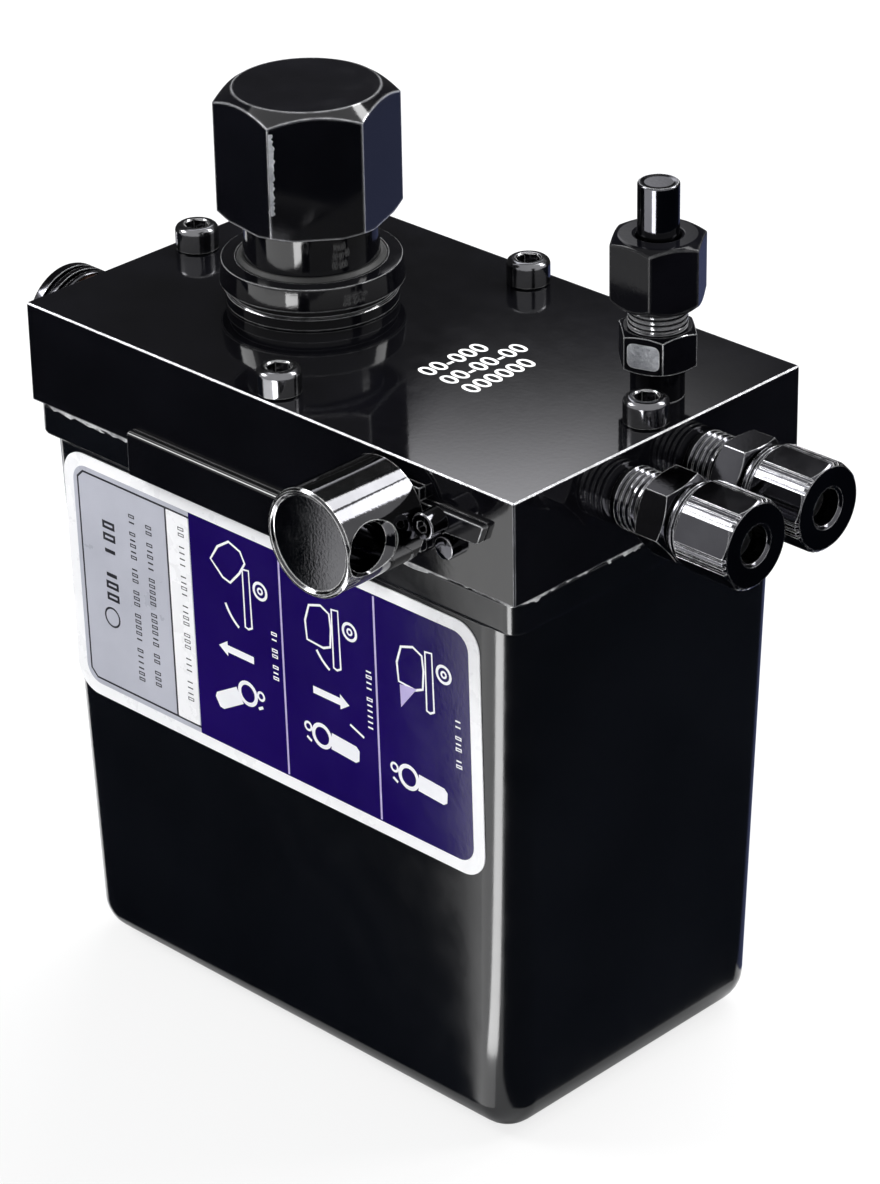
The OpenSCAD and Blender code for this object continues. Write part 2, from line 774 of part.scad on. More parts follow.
module stop_dowel() {
    color([0.6, 0.6, 0.62]) along_y(selector_x - stop_r, -block_d/2 - 5.2, -selector_depth)
        cylinder(d = stop_d, h = 11);
}

module locating_pin() {
    color([0.12, 0.12, 0.125]) along_y(locating_pin_at.x, -block_d/2 - 3, locating_pin_at.y) union() {
        cylinder(d1 = 4.7, d2 = 5.5, h = 0.4);
        translate([0, 0, 0.4]) cylinder(d = 5.5, h = 8.4);
    }
}

module detent_ball() {
    color([0.8, 0.8, 0.82])
        along_y(selector_x + detent_r, spool_rear + 3.06, -selector_depth) sphere(d = 6);
}

module detent_spring() {
    y = spool_rear + 6.1;
    color([0.6, 0.6, 0.62]) along_y(selector_x + detent_r, y, -selector_depth)
        coil_spring(5.4, 0.8, block_d/2 - 8.05 - y, 4);
}

module detent_screw() {
    color([0.3, 0.3, 0.32]) along_y(selector_x + detent_r, block_d/2 - 8, -selector_depth) difference() {
        cylinder(d = 8, h = 7.5);
        translate([0, 0, 7.5]) hex_socket(4, 4);
    }
}

// ---------- fittings ----------

module port_adaptors() {
    color([0.12, 0.12, 0.125]) for (i = [0, 1])
        along_x(block_w/2, [port_a_y, port_b_y][i], -port_depth) difference() {
            union() {
                translate([0, 0, -port_thread_in])
                    cylinder(d = port_thread_d, h = port_thread_in + port_hex_from + past);
                translate([0, 0, port_hex_from]) rotate(port_hex_turn[i])
                    turned_hex(port_hex_af, port_hex_to - port_hex_from, 16.4, 0.8, 16.4, 0.8);
                translate([0, 0, port_hex_to - past])
                    cylinder(d = 13, h = port_nut_to - 9 - port_hex_to + past);
            }
            for (k = [0:3]) translate([0, 0, 2.2 + k*port_thread_pitch])
                groove(port_thread_d, port_thread_d - 1.2, 0.7);
            translate([0, 0, -port_thread_in - past]) cylinder(d = 5.5, h = 60);
            translate([0, 0, 18]) cylinder(d = port_tube_d + 2*fixed_fit, h = 20);
            translate([0, 0, port_nut_to - 12]) cylinder(d1 = port_tube_d, d2 = 10.6, h = 3.01);
        }
}

// Nut with a turned collar, six flat lands and three slots along every corner,
// its mouth open for the tube
module port_nuts() {
    nut_l = port_nut_to - port_nut_from;
    color([0.12, 0.12, 0.125]) for (i = [0, 1])
        along_x(block_w/2 + port_nut_from, [port_a_y, port_b_y][i], -port_depth) difference() {
            union() {
                cylinder(d1 = 16.6, d2 = 18, h = 0.9);
                translate([0, 0, 0.9]) cylinder(d = 18, h = 1);
                translate([0, 0, 1.8]) cylinder(d = 17, h = 2);
                rotate(port_nut_turn[i]) intersection() {
                    translate([0, 0, land_from - 0.7])
                        cylinder(d = port_nut_af/cos(30), h = nut_l - land_from + 0.7, $fn = 6);
                    rotate_extrude() polygon([
                        [0, land_from - 0.7], [8.7, land_from - 0.7], [port_nut_d/2, land_from + 0.3],
                        [port_nut_d/2, nut_l - 0.6], [port_nut_d/2 - 0.7, nut_l], [0, nut_l]
                    ]);
                }
            }
            for (k = [0:5], s = [-1:1]) rotate(port_nut_turn[i] + 60*k + 9*s)
                translate([port_nut_d/2 - 0.5, -0.35, land_from]) cube([2, 0.7, nut_l]);
            translate([0, 0, -past]) cylinder(d = 13 + 2*fixed_fit, h = nut_l - 7.5 + past);
            translate([0, 0, nut_l - 8.5]) cylinder(d1 = 13, d2 = port_tube_d + 2.2, h = 4);
            translate([0, 0, nut_l - 5]) cylinder(d = port_tube_d + 0.2, h = 10);
        }
}

module port_cutting_rings() {
    color([0.55, 0.55, 0.57]) for (y = [port_a_y, port_b_y])
        along_x(block_w/2 + port_nut_to - 8.6, y, -port_depth) difference() {
            union() {
                cylinder(d1 = 11.2, d2 = 11.8, h = 1.6);
                translate([0, 0, 1.6]) cylinder(d1 = 10.8, d2 = port_tube_d + 1.6, h = 2);
            }
            translate([0, 0, -past]) cylinder(d = port_tube_d + 0.2, h = 10);
        }
}

module top_adaptor() {
    color([0.12, 0.12, 0.125]) on_block(top_x, top_y) difference() {
        union() {
            translate([0, 0, -8]) cylinder(d = 10, h = 9);
            cylinder(d = top_neck_d, h = top_hex_from + past);
            translate([0, 0, top_hex_from]) rotate(top_hex_turn)
                turned_hex(top_hex_af, top_hex_to - top_hex_from, 15, 0.8, 15, 0.8);
            translate([0, 0, top_hex_to - past]) cylinder(d = 13, h = 28 - top_hex_to + past);
        }
        translate([0, 0, -9]) cylinder(d = 5, h = 60);
        translate([0, 0, 18]) cylinder(d = stub_d + 2*fixed_fit, h = 20);
        translate([0, 0, 25]) cylinder(d1 = stub_d, d2 = 11.6, h = 3.01);
    }
}

module top_nut() {
    h = top_nut_to - top_nut_from;
    color([0.12, 0.12, 0.125]) on_block(top_x, top_y, top_nut_from) difference() {
        rotate(top_nut_turn) turned_hex(top_nut_af, h, 17.2, 1.4, 16.5, 2.6);
        translate([0, 0, -past]) cylinder(d = 13 + 2*fixed_fit, h = 8.5 + past);
        translate([0, 0, 8.49]) cylinder(d1 = 13, d2 = stub_d + 2, h = 4);
        translate([0, 0, 8]) cylinder(d = stub_d + 0.2, h = 20);
    }
}

module top_cutting_ring() {
    color([0.55, 0.55, 0.57]) on_block(top_x, top_y, 28.4) difference() {
        union() {
            cylinder(d1 = 11.8, d2 = 12, h = 1.2);
            translate([0, 0, 1.2]) cylinder(d1 = 11.4, d2 = stub_d + 1.4, h = 2);
        }
        translate([0, 0, -past]) cylinder(d = stub_d + 0.1, h = 10);
    }
}

// Blanking stub that keeps the unused top port shut
module top_stub() {
    color([0.2, 0.2, 0.21]) on_block(top_x, top_y, 18.2) union() {
        cylinder(d = stub_d, h = stub_top - 18.5);
        translate([0, 0, stub_top - 18.5]) cylinder(d1 = stub_d, d2 = stub_d - 0.6, h = 0.3);
    }
}

pump_block();
tank();
tank_gasket();
cover_screws();
front_strip();
label_plate();
shaft_collar();
shaft_bush();
shaft_retaining_ring();
shaft_dust_seal();
drive_shaft();
shaft_oil_seal();
plunger();
plunger_seals();
bore_end_plug();
end_plug_seal();
end_plug_ring();
suction_seat();
suction_ball();
suction_spring();
suction_tube();
suction_strainer();
delivery_seat();
delivery_ball();
delivery_spring();
relief_body();
relief_ball();
relief_spring();
relief_adjuster();
return_tube();
filler_plug();
filler_washer();
selector_spool();
selector_seals();
selector_knob();
knob_pin();
keeper_plate();
keeper_screw();
stop_dowel();
locating_pin();
detent_ball();
detent_spring();
detent_screw();
port_adaptors();
port_nuts();
port_cutting_rings();
top_adaptor();
top_nut();
top_cutting_ring();
top_stub();
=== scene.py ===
# %% [markdown]
# # A hand pump on its oil tank
# The object is a small hydraulic power unit that is worked by hand: a flat
# steel block closes a deep-drawn tank, a hexagon head on the block is rocked
# with a bar, and a round knob on the front chooses where the oil goes.
# The working model is loaded first. Its parts are already at their real size
# and place, so everything modelled here is measured from their boxes.

# %% Load the working model
import math
import random

import bmesh
import bpy
from mathutils import Matrix, Vector


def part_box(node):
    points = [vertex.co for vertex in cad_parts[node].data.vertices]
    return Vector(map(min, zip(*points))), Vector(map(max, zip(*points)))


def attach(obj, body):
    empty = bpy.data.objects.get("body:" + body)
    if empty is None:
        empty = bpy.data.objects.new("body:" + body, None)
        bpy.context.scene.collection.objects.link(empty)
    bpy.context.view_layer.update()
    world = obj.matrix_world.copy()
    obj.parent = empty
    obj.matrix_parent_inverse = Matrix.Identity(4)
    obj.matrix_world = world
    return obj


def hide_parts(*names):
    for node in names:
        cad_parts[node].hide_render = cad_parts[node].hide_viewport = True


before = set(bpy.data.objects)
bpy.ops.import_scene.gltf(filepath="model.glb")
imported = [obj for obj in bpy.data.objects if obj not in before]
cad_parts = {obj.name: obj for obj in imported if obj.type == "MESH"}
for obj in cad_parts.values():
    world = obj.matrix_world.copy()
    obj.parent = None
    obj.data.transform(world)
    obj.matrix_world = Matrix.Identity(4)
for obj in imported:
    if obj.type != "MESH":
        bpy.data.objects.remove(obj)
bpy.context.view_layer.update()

MM = 0.001


# %% [markdown]
# Where things are. The sizes of the working model are in metres, and a
# workshop thinks in millimetres, so a small helper turns a box into six
# numbers in millimetres.

# %% Read sizes from the working model
def box_mm(node):
    low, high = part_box(node)
    return [v / MM for v in (low.x, high.x, low.y, high.y, low.z, high.z)]


BLOCK = box_mm("pump_block")
TOP = BLOCK[5]
print("block from", [round(v, 1) for v in BLOCK])


# %% [markdown]
# ## Camera
# The unit is seen from its front right corner and from above. The camera
# stands about a metre away with a long lens, so that upright edges stay
# nearly parallel, and it is rolled by about one degree.

# %% Camera
CAMERA_PLACE = (0.61626, -0.61515, 0.55854)
CAMERA_TURN = 0.778843
CAMERA_DOWN = 0.486062
CAMERA_ROLL = -0.019296
LENS = 132.04


def place_camera():
    data = bpy.data.cameras.new("camera")
    data.lens = LENS
    data.sensor_width = 36.0
    data.clip_end = 20.0
    cam = bpy.data.objects.new("camera", data)
    bpy.context.scene.collection.objects.link(cam)
    turn = Matrix.Rotation(CAMERA_TURN, 4, "Z")
    tilt = Matrix.Rotation(math.pi / 2 - CAMERA_DOWN, 4, "X")
    roll = Matrix.Rotation(CAMERA_ROLL, 4, "Z")
    cam.matrix_world = Matrix.Translation(CAMERA_PLACE) @ turn @ tilt @ roll
    bpy.context.scene.camera = cam
    return cam


camera = place_camera()
print("camera at", [round(v, 3) for v in camera.location])


# %% [markdown]
# ## Nodes
# The world, the floor and every finish are built from shader nodes. One
# helper adds a node and fills its sockets by name: a number or a colour is
# set on the socket itself, and another node's output is linked to it.

# %% Helpers for nodes
def fill(tree, socket, value):
    if isinstance(value, bpy.types.NodeSocket):
        tree.links.new(value, socket)
    elif socket.type == "RGBA":
        socket.default_value = (*value, 1)
    else:
        socket.default_value = value


def add_node(tree, kind, **sockets):
    node = tree.nodes.new("ShaderNode" + kind)
    for name, value in sockets.items():
        fill(tree, node.inputs[name.replace("_", " ")], value)
    return node


def maths(tree, how, first, second):
    node = add_node(tree, "Math")
    node.operation = how
    fill(tree, node.inputs[0], first)
    fill(tree, node.inputs[1], second)
    return node.outputs[0]


def mix_shaders(tree, factor, first, second):
    node = add_node(tree, "MixShader")
    for socket, value in zip(node.inputs, (factor, first.outputs[0], second.outputs[0])):
        fill(tree, socket, value)
    return node.outputs[0]


# %% [markdown]
# ## Stage
# Black gloss paint shows its surroundings more than its own colour, so the
# stage matters as much as the paint. The world is white where the camera,
# mirrors and glass look at it, and a plain soft grey for everything else.

# %% World
def build_world():
    world = bpy.data.worlds.new("white_studio")
    bpy.context.scene.world = world
    world.use_nodes = True
    tree = world.node_tree
    tree.nodes.clear()
    soft = add_node(tree, "Background", Color=(0.98, 0.99, 1.0), Strength=0.55)
    white = add_node(tree, "Background", Color=(1, 1, 1), Strength=1.0)
    rays = add_node(tree, "LightPath").outputs
    looked_at = maths(tree, "MAXIMUM", rays["Is Camera Ray"], rays["Is Glossy Ray"])
    looked_at = maths(tree, "MAXIMUM", looked_at, rays["Is Transmission Ray"])
    add_node(tree, "OutputWorld", Surface=mix_shaders(tree, looked_at, soft, white))


build_world()
bpy.context.scene.view_settings.view_transform = "Standard"
print("world is white to the eye and soft to the object")


# %% [markdown]
# The floor is a large pale sheet. To the camera it is mostly its own even
# white, with part of it left to the lights so that it keeps a soft shadow.

# %% Floor
OWN_WHITE = 0.80


def build_floor():
    bpy.ops.object.select_all(action="DESELECT")
    bpy.ops.mesh.primitive_plane_add(size=8.0, location=(0, 0, -0.0004))
    floor = bpy.context.object
    floor.name = "floor"
    bpy.ops.object.transform_apply(location=True)
    mat = bpy.data.materials.new("pale_floor")
    mat.use_nodes = True
    tree = mat.node_tree
    matte = tree.nodes["Principled BSDF"]
    fill(tree, matte.inputs["Base Color"], (0.86, 0.86, 0.86))
    fill(tree, matte.inputs["Roughness"], 0.9)
    fill(tree, matte.inputs["Specular IOR Level"], 0.0)
    glow = add_node(tree, "Emission", Color=(1, 1, 1))
    seen = maths(tree, "MULTIPLY", add_node(tree, "LightPath").outputs["Is Camera Ray"], OWN_WHITE)
    fill(tree, tree.nodes["Material Output"].inputs["Surface"], mix_shaders(tree, seen, matte, glow))
    floor.data.materials.append(mat)
    return floor


floor = build_floor()
print("floor", [round(v, 2) for v in floor.dimensions])


# %% [markdown]
# Three soft lamps. One hangs behind and above and draws bright bands along
# the tops of round parts, one hangs at the front left, lights the label and
# shines on front edges and nuts, and one behind right draws the right edges.
# Each is aimed by turning its own minus Z axis to the target.

# %% Lamps
def soft_lamp(name, place, target, width, depth, watts):
    data = bpy.data.lights.new(name, "AREA")
    data.shape = "RECTANGLE"
    data.size = width
    data.size_y = depth
    data.energy = watts
    lamp = bpy.data.objects.new(name, data)
    bpy.context.scene.collection.objects.link(lamp)
    lamp.location = place
    aim = Vector(target) - Vector(place)
    lamp.rotation_euler = aim.to_track_quat("-Z", "Y").to_euler()
    return lamp


behind = soft_lamp("behind_above", (-0.22, 0.84, 1.18), (0, 0, 0.15), 1.20, 0.50, 21.0)
front = soft_lamp("front_left", (-0.92, -0.70, 1.10), (0, 0, 0.12), 0.50, 0.50, 13.0)
right = soft_lamp("behind_right", (0.68, 0.92, 1.05), (0, 0, 0.15), 0.40, 0.50, 9.0)
print("lamps:", behind.name, front.name, right.name)


# %% [markdown]
# Shiny black things are lit with cards around them, because a black face is
# only as dark as what it mirrors. Nearly black cards lie left and right on
# the floor, a blue one behind, a pale and a bright one in front, and a hazy
# one is held up at the front left. Only mirror rays see them: not the
# camera, not the light that falls on the object, and they cast no shadow.

# %% Cards
def card(name, corners, material):
    bpy.ops.object.select_all(action="DESELECT")
    bpy.ops.mesh.primitive_plane_add(size=1, location=(0, 0, 0))
    sheet = bpy.context.object
    sheet.name = name
    for vert, corner in zip(sheet.data.vertices, corners):
        vert.co = corner
    sheet.data.materials.append(material)
    sheet.visible_camera = False
    sheet.visible_diffuse = False
    sheet.visible_transmission = False
    sheet.visible_shadow = False


def glowing(name, colour, strength=1.0):
    mat = bpy.data.materials.new(name)
    mat.use_nodes = True
    tree = mat.node_tree
    tree.nodes.remove(tree.nodes["Principled BSDF"])
    glow = add_node(tree, "Emission", Color=colour, Strength=strength)
    fill(tree, tree.nodes["Material Output"].inputs["Surface"], glow.outputs[0])
    return mat


WHITE = (1.0, 1.0, 1.0)
dark = glowing("card_black", (0.55, 0.65, 1.0), 0.022)
pale = glowing("card_pale", WHITE, 2.1)
bright = glowing("card_bright", WHITE, 13.0)
blue = glowing("card_blue", (0.34, 0.40, 0.80), 0.32)
hazy = glowing("card_hazy", WHITE, 2.4)
LOW, OVER_LOW, HIGHEST = 0.0006, 0.0008, 0.001
# A plane's corners come in the order: two along -Y, then two along +Y.
card("card_left", [(-2.5, -1.56, LOW), (-1.444, -1.56, LOW),
                   (-2.5, 0.05, LOW), (0.054, -0.046, LOW)], dark)
card("card_right", [(0.0755, -0.06, LOW), (1.55, -2.50, LOW),
                    (0.0755, 2.5, LOW), (2.6, 2.6, LOW)], dark)
card("card_behind", [(-2.5, 0.05, LOW), (0.0755, 0.05, LOW),
                     (-2.5, 2.5, LOW), (0.0755, 2.5, LOW)], blue)
card("card_front", [(-0.716, -0.827, OVER_LOW), (0.236, -1.136, OVER_LOW),
                    (0.054, -0.047, OVER_LOW), (0.064, -0.050, OVER_LOW)], pale)
card("card_strip", [(0.206, -1.058, HIGHEST), (0.570, -0.936, HIGHEST),
                    (0.050, -0.070, HIGHEST), (0.070, -0.070, HIGHEST)], bright)
card("card_high", [(-1.46, -0.62, 0.93), (-0.92, -1.34, 0.93),
                   (-1.08, -0.18, 1.47), (-0.54, -0.90, 1.47)], hazy)
print("five cards on the floor and one held high")


# %% [markdown]
# One more card stands behind, square to the way the block's top mirrors the
# room. Its glow starts at a leaning edge, so that the top of the hexagon
# stays dark, and grows stronger with height, so that the front corner of
# the block is brightest. Three ramps multiplied together give the shape.

# %% Card with a glow
def ramp(tree, value, start, end):
    node = add_node(tree, "MapRange", Value=value, From_Min=start, From_Max=end)
    node.interpolation_type = "SMOOTHSTEP"
    return node.outputs[0]


def glow_material(along, strength, rest):
    mat = glowing("card_back_glow", (1.0, 1.0, 1.04))
    tree = mat.node_tree
    where = add_node(tree, "TexCoord").outputs["Object"]
    side = add_node(tree, "VectorMath")
    side.operation = "DOT_PRODUCT"
    fill(tree, side.inputs[0], where)
    fill(tree, side.inputs[1], along + Vector((0, 0, 0.6)))
    across = side.outputs["Value"]
    height = add_node(tree, "SeparateXYZ", Vector=where).outputs["Z"]
    edges = maths(tree, "MULTIPLY", ramp(tree, across, 0.212, 0.232), ramp(tree, across, 0.355, 0.280))
    rise = maths(tree, "POWER", ramp(tree, height, 0.300, 0.42), 3.5)
    shape = maths(tree, "MULTIPLY", maths(tree, "MULTIPLY", edges, rise), strength)
    fill(tree, tree.nodes["Emission"].inputs["Strength"], maths(tree, "ADD", shape, rest))
    return mat


def glow_card(distance, half_width, height):
    away = Vector((-0.702, 0.712, 0.0))
    along = Vector((0.712, 0.702, 0.0))
    corners = []
    for up in (0.0, height):
        for side in (-half_width, half_width):
            corners.append(away * distance + along * side + Vector((0, 0, up)))
    card("card_back", corners, glow_material(along, 2.85, 0.05))


glow_card(0.40, 1.6, 0.92)
print("a glow behind")


# %% [markdown]
# ## Tools for modelling
# Every part is worked on as by hand: add a primitive, go into edit mode,
# pick faces or edges by where they are, and run an operator on them.
# `pick` is the hand that selects, because an operator acts on everything
# that is selected.

# %% Selecting by place
def pick(kind, test):
    flags = {"face": (False, False, True), "edge": (False, True, False), "vert": (True, False, False)}
    bpy.context.tool_settings.mesh_select_mode = flags[kind]
    bpy.ops.mesh.select_all(action="DESELECT")
    mesh = bmesh.from_edit_mesh(bpy.context.edit_object.data)
    items = {"face": mesh.faces, "edge": mesh.edges, "vert": mesh.verts}[kind]
    for item in items:
        if test(item):
            item.select_set(True)
    bmesh.update_edit_mesh(bpy.context.edit_object.data)


def middle(item):
    total = Vector((0, 0, 0))
    for vert in item.verts:
        total += vert.co
    return total / len(item.verts)


def upright(edge, least=0.1):
    return abs(edge.verts[0].co.z - edge.verts[1].co.z) > least * MM


def length(edge):
    return (edge.verts[0].co - edge.verts[1].co).length


def mode(name):
    bpy.ops.object.mode_set(mode=name)


def only(part):
    bpy.ops.object.select_all(action="DESELECT")
    part.select_set(True)
    bpy.context.view_layer.objects.active = part


# %% [markdown]
# Cutting, joining and rounding are modifiers that are applied at once.
# A cutter is a piece of its own that is thrown away after its cut.

# %% Cutting and rounding
def apply_modifier(obj, modifier):
    only(obj)
    bpy.ops.object.modifier_apply(modifier=modifier.name)


def boolean(obj, other, how="DIFFERENCE"):
    mod = obj.modifiers.new("cut", "BOOLEAN")
    mod.operation = how
    mod.solver = "EXACT"
    mod.object = other
    apply_modifier(obj, mod)
    bpy.data.objects.remove(other, do_unlink=True)


def round_edges(obj, width, segments=2, angle=28):
    mod = obj.modifiers.new("round", "BEVEL")
    mod.width = width * MM
    mod.segments = segments
    mod.limit_method = "ANGLE"
    mod.angle_limit = math.radians(angle)
    mod.use_clamp_overlap = True
    mod.miter_outer = "MITER_ARC"
    apply_modifier(obj, mod)


# %% [markdown]
# Nearly every fitting is turned on a lathe, so the next helper works like
# one. It starts with a short cone and pulls its top face up and in or out,
# step by step, by the list of (radius, height) it is given. The part is
# made upright at the origin, and can then be laid along X or Y and moved.

# %% Turning on the lathe
def turned(name, steps, sides=96):
    (r0, h0), (r1, h1) = steps[0], steps[1]
    bpy.ops.object.select_all(action="DESELECT")
    bpy.ops.mesh.primitive_cone_add(
        vertices=sides, radius1=r0 * MM, radius2=r1 * MM, depth=(h1 - h0) * MM,
        location=(0, 0, (h0 + h1) / 2 * MM))
    part = bpy.context.object
    part.name = name
    bpy.ops.object.transform_apply(location=True)
    mode("EDIT")
    pick("face", lambda f: len(f.verts) == sides and f.normal.z > 0.9)
    for (ra, ha), (rb, hb) in zip(steps[1:], steps[2:]):
        bpy.ops.mesh.extrude_region_move(
            TRANSFORM_OT_translate={"value": (0, 0, (hb - ha) * MM)})
        grow = rb / ra
        bpy.ops.transform.resize(value=(grow, grow, 1), center_override=(0, 0, hb * MM))
    mode("OBJECT")
    return part


def lay(part, axis, place):
    only(part)
    turns = {"z": (0, 0, 0), "x": (0, math.pi / 2, 0), "y": (-math.pi / 2, 0, 0)}
    part.rotation_euler = turns[axis]
    part.location = [v * MM for v in place]
    bpy.ops.object.transform_apply(location=True, rotation=True, scale=True)


# %% [markdown]
# A nut is a hexagon whose corners were turned off on the lathe. Here that
# is done the same way: a six-sided prism and a turned shape are laid in
# each other, and only what both hold is kept. The prism is longer at both
# ends, because a cut between faces that lie in one plane sometimes fails.

# %% Hexagons with turned corners
SPARE = 1.0


def prism(name, flats, low, high, turn):
    bpy.ops.object.select_all(action="DESELECT")
    bpy.ops.mesh.primitive_cylinder_add(
        vertices=6, radius=flats / math.cos(math.pi / 6) / 2 * MM, depth=(high - low) * MM,
        location=(0, 0, (high + low) / 2 * MM), rotation=(0, 0, turn))
    part = bpy.context.object
    part.name = name
    bpy.ops.object.transform_apply(location=True, rotation=True)
    return part


def turned_hexagon(name, flats, low, high, top_d, top_drop, low_d, low_drop, turn, round_d=None):
    part = prism(name, flats, low - SPARE, high + SPARE, math.radians(turn) - math.pi / 2)
    widest = round_d / 2 if round_d else flats / math.cos(math.pi / 6) / 2 + 0.3
    envelope = turned("envelope", [
        (low_d / 2, low), (widest, low + low_drop),
        (widest, high - top_drop), (top_d / 2, high)])
    boolean(part, envelope, "INTERSECT")
    return part


# %% [markdown]
# Finishing a part: its faces are shaded smooth except at true edges, it is
# tied to the body it moves with, it stands in for its working parts, and it
# gets its finish.

# %% Finishing a part
made = []


def finish(part, body, nodes, material, angle=32):
    only(part)
    bpy.ops.object.transform_apply(location=True, rotation=True, scale=True)
    bpy.ops.object.shade_smooth_by_angle(angle=math.radians(angle))
    even = part.modifiers.new("even", "WEIGHTED_NORMAL")
    even.keep_sharp = True
    apply_modifier(part, even)
    part.data.materials.clear()
    part.data.materials.append(material)
    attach(part, body)
    if nodes:
        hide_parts(*nodes)
    made.append(part.name)
    print(part.name, "made of", len(part.data.polygons), "faces")


def joined(name, parts):
    bpy.ops.object.select_all(action="DESELECT")
    for part in parts:
        part.select_set(True)
    bpy.context.view_layer.objects.active = parts[0]
    bpy.ops.object.join()
    parts[0].name = name
    return parts[0]


def copied(part, move):
    twin = part.copy()
    twin.data = part.data.copy()
    bpy.context.scene.collection.objects.link(twin)
    twin.data.transform(Matrix.Translation([v * MM for v in move]))
    return twin


# %% [markdown]
# ## Finishes
# Each finish is grown from noise on object coordinates, so it sits still in
# the metal when a part turns. Three scales are used: a broad one that
# shifts the colour, a middle one that dulls and polishes, and a fine one
# that gives the skin of the paint or the marks of the tool.

# %% Noise, ranges and blends
def noise(tree, where, scale, detail=3.0, rough=0.5, stretch=(1, 1, 1)):
    mapping = add_node(tree, "Mapping", Vector=where, Scale=stretch)
    return add_node(tree, "TexNoise", Vector=mapping.outputs[0], Scale=scale,
                    Detail=detail, Roughness=rough).outputs["Fac"]


def spread(tree, value, low, high, to_low, to_high):
    return add_node(tree, "MapRange", Value=value, From_Min=low, From_Max=high,
                    To_Min=to_low, To_Max=to_high).outputs["Result"]


def blend_colour(tree, factor, first, second):
    node = add_node(tree, "Mix")
    node.data_type = "RGBA"
    fill(tree, node.inputs[0], factor)
    slots = [s for s in node.inputs if s.type == "RGBA"]
    for socket, value in zip(slots, (first, second)):
        fill(tree, socket, value)
    return [s for s in node.outputs if s.type == "RGBA"][0]


# %% [markdown]
# Paint wears first where a part is handled, along its edges, and the bright
# bare colour laid there is also a painted highlight, in place of the light
# that the edges catch. The Bevel node gives the direction a rounded edge
# would face. Where that differs from the true direction there is an edge,
# and a little noise breaks the line up.

# %% Wear and painted highlights along edges
FLAT, EDGE = 0.992, 0.93


def wear_and_highlight_edges(tree, where, reach, amount):
    bevel = add_node(tree, "Bevel", Radius=reach * MM)
    bevel.samples = 4
    face = add_node(tree, "NewGeometry")
    agree = add_node(tree, "VectorMath")
    agree.operation = "DOT_PRODUCT"
    fill(tree, agree.inputs[0], bevel.outputs["Normal"])
    fill(tree, agree.inputs[1], face.outputs["Normal"])
    edge = spread(tree, agree.outputs["Value"], FLAT, EDGE, 0.0, amount)
    breakup = spread(tree, noise(tree, where, 420, 4, 0.65), 0.38, 0.56, 0.45, 1.0)
    return maths(tree, "MULTIPLY", edge, breakup)


# %% [markdown]
# One recipe serves paint and metal alike. It takes two colours, a range of
# roughness, the skin's grain and depth, how far and how much the edges are
# worn and painted bright, the bare colour there, which is also a painted
# edge highlight, its shine, and how strongly the skin mirrors.

# %% The recipe
def recipe(name, colour, second, rough, metal=0.0, skin=700, depth=0.05, broad=45,
           reach=0.0, edge_wear_and_highlight=0.0, bare_and_highlight=(0.42, 0.42, 0.44), shine=1.0, stretch=(1, 1, 1),
           mirror=0.5):
    mat = bpy.data.materials.new(name)
    mat.use_nodes = True
    tree = mat.node_tree
    surface = tree.nodes["Principled BSDF"].inputs
    where = add_node(tree, "TexCoord").outputs["Object"]
    tone = spread(tree, noise(tree, where, broad, 4, 0.6), 0.3, 0.7, 0.0, 1.0)
    tint = blend_colour(tree, tone, colour, second)
    dull = noise(tree, where, broad * 4, 5, 0.6, stretch)
    fine = noise(tree, where, skin, 3, 0.55, stretch)
    bump = add_node(tree, "Bump", Strength=depth, Distance=0.0004, Height=fine)
    # Edges get the bare colour, which is worn paint and a painted highlight in one.
    if edge_wear_and_highlight:
        wear_and_highlight_mask = wear_and_highlight_edges(tree, where, reach, edge_wear_and_highlight)
        tint = blend_colour(tree, wear_and_highlight_mask, tint, bare_and_highlight)
        metal = spread(tree, wear_and_highlight_mask, 0, 1, metal, shine)
    fill(tree, surface["Base Color"], tint)
    fill(tree, surface["Metallic"], metal)
    fill(tree, surface["Roughness"], spread(tree, dull, 0.3, 0.75, *rough))
    fill(tree, surface["Specular IOR Level"], mirror)
    fill(tree, surface["Normal"], bump.outputs[0])
    return mat


# %% [markdown]
# The finishes of this unit. The block, the collar, the hexagons and the top
# nut are sprayed with black enamel and shine like glass, the tank's paint is
# a little softer, and the port fittings and the knob are blackened steel.
# Inside are ground steel, brass, bronze, copper and rubber.

# %% Make the finishes
# The light bare colours at the black parts' edges are partly wear and partly painted edge highlights.
BLACK = ((0.0020, 0.0020, 0.0028), (0.0040, 0.0040, 0.0058), (0.05, 0.11))
enamel = recipe("black_enamel", (0.0020, 0.0020, 0.0026), (0.0036, 0.0036, 0.0050), (0.04, 0.09),
                skin=900, depth=0.010, reach=0.34, edge_wear_and_highlight=0.9, bare_and_highlight=(0.42, 0.42, 0.45), shine=0.3)
fitting_enamel = recipe("fitting_enamel", (0.055, 0.055, 0.062), (0.095, 0.095, 0.105), (0.05, 0.12),
                        metal=1.0, skin=1200, depth=0.025, reach=0.30, edge_wear_and_highlight=1.0,
                        bare_and_highlight=(0.80, 0.80, 0.82), shine=0.35)
gloss_enamel = recipe("gloss_enamel", *BLACK, skin=1000, depth=0.02,
                      reach=0.32, edge_wear_and_highlight=1.0, bare_and_highlight=(0.80, 0.80, 0.82), shine=0.35)
nut_enamel = recipe("nut_enamel", *BLACK, skin=1000, depth=0.02, mirror=0.1,
                    reach=0.42, edge_wear_and_highlight=1.0, bare_and_highlight=(0.90, 0.90, 0.92), shine=0.6)
screw_finish = recipe("oiled_steel", (0.14, 0.14, 0.15), (0.24, 0.24, 0.25), (0.10, 0.18), metal=1.0,
                      skin=1500, depth=0.04, reach=0.30, edge_wear_and_highlight=1.0, bare_and_highlight=(0.85, 0.85, 0.85), shine=0.5)
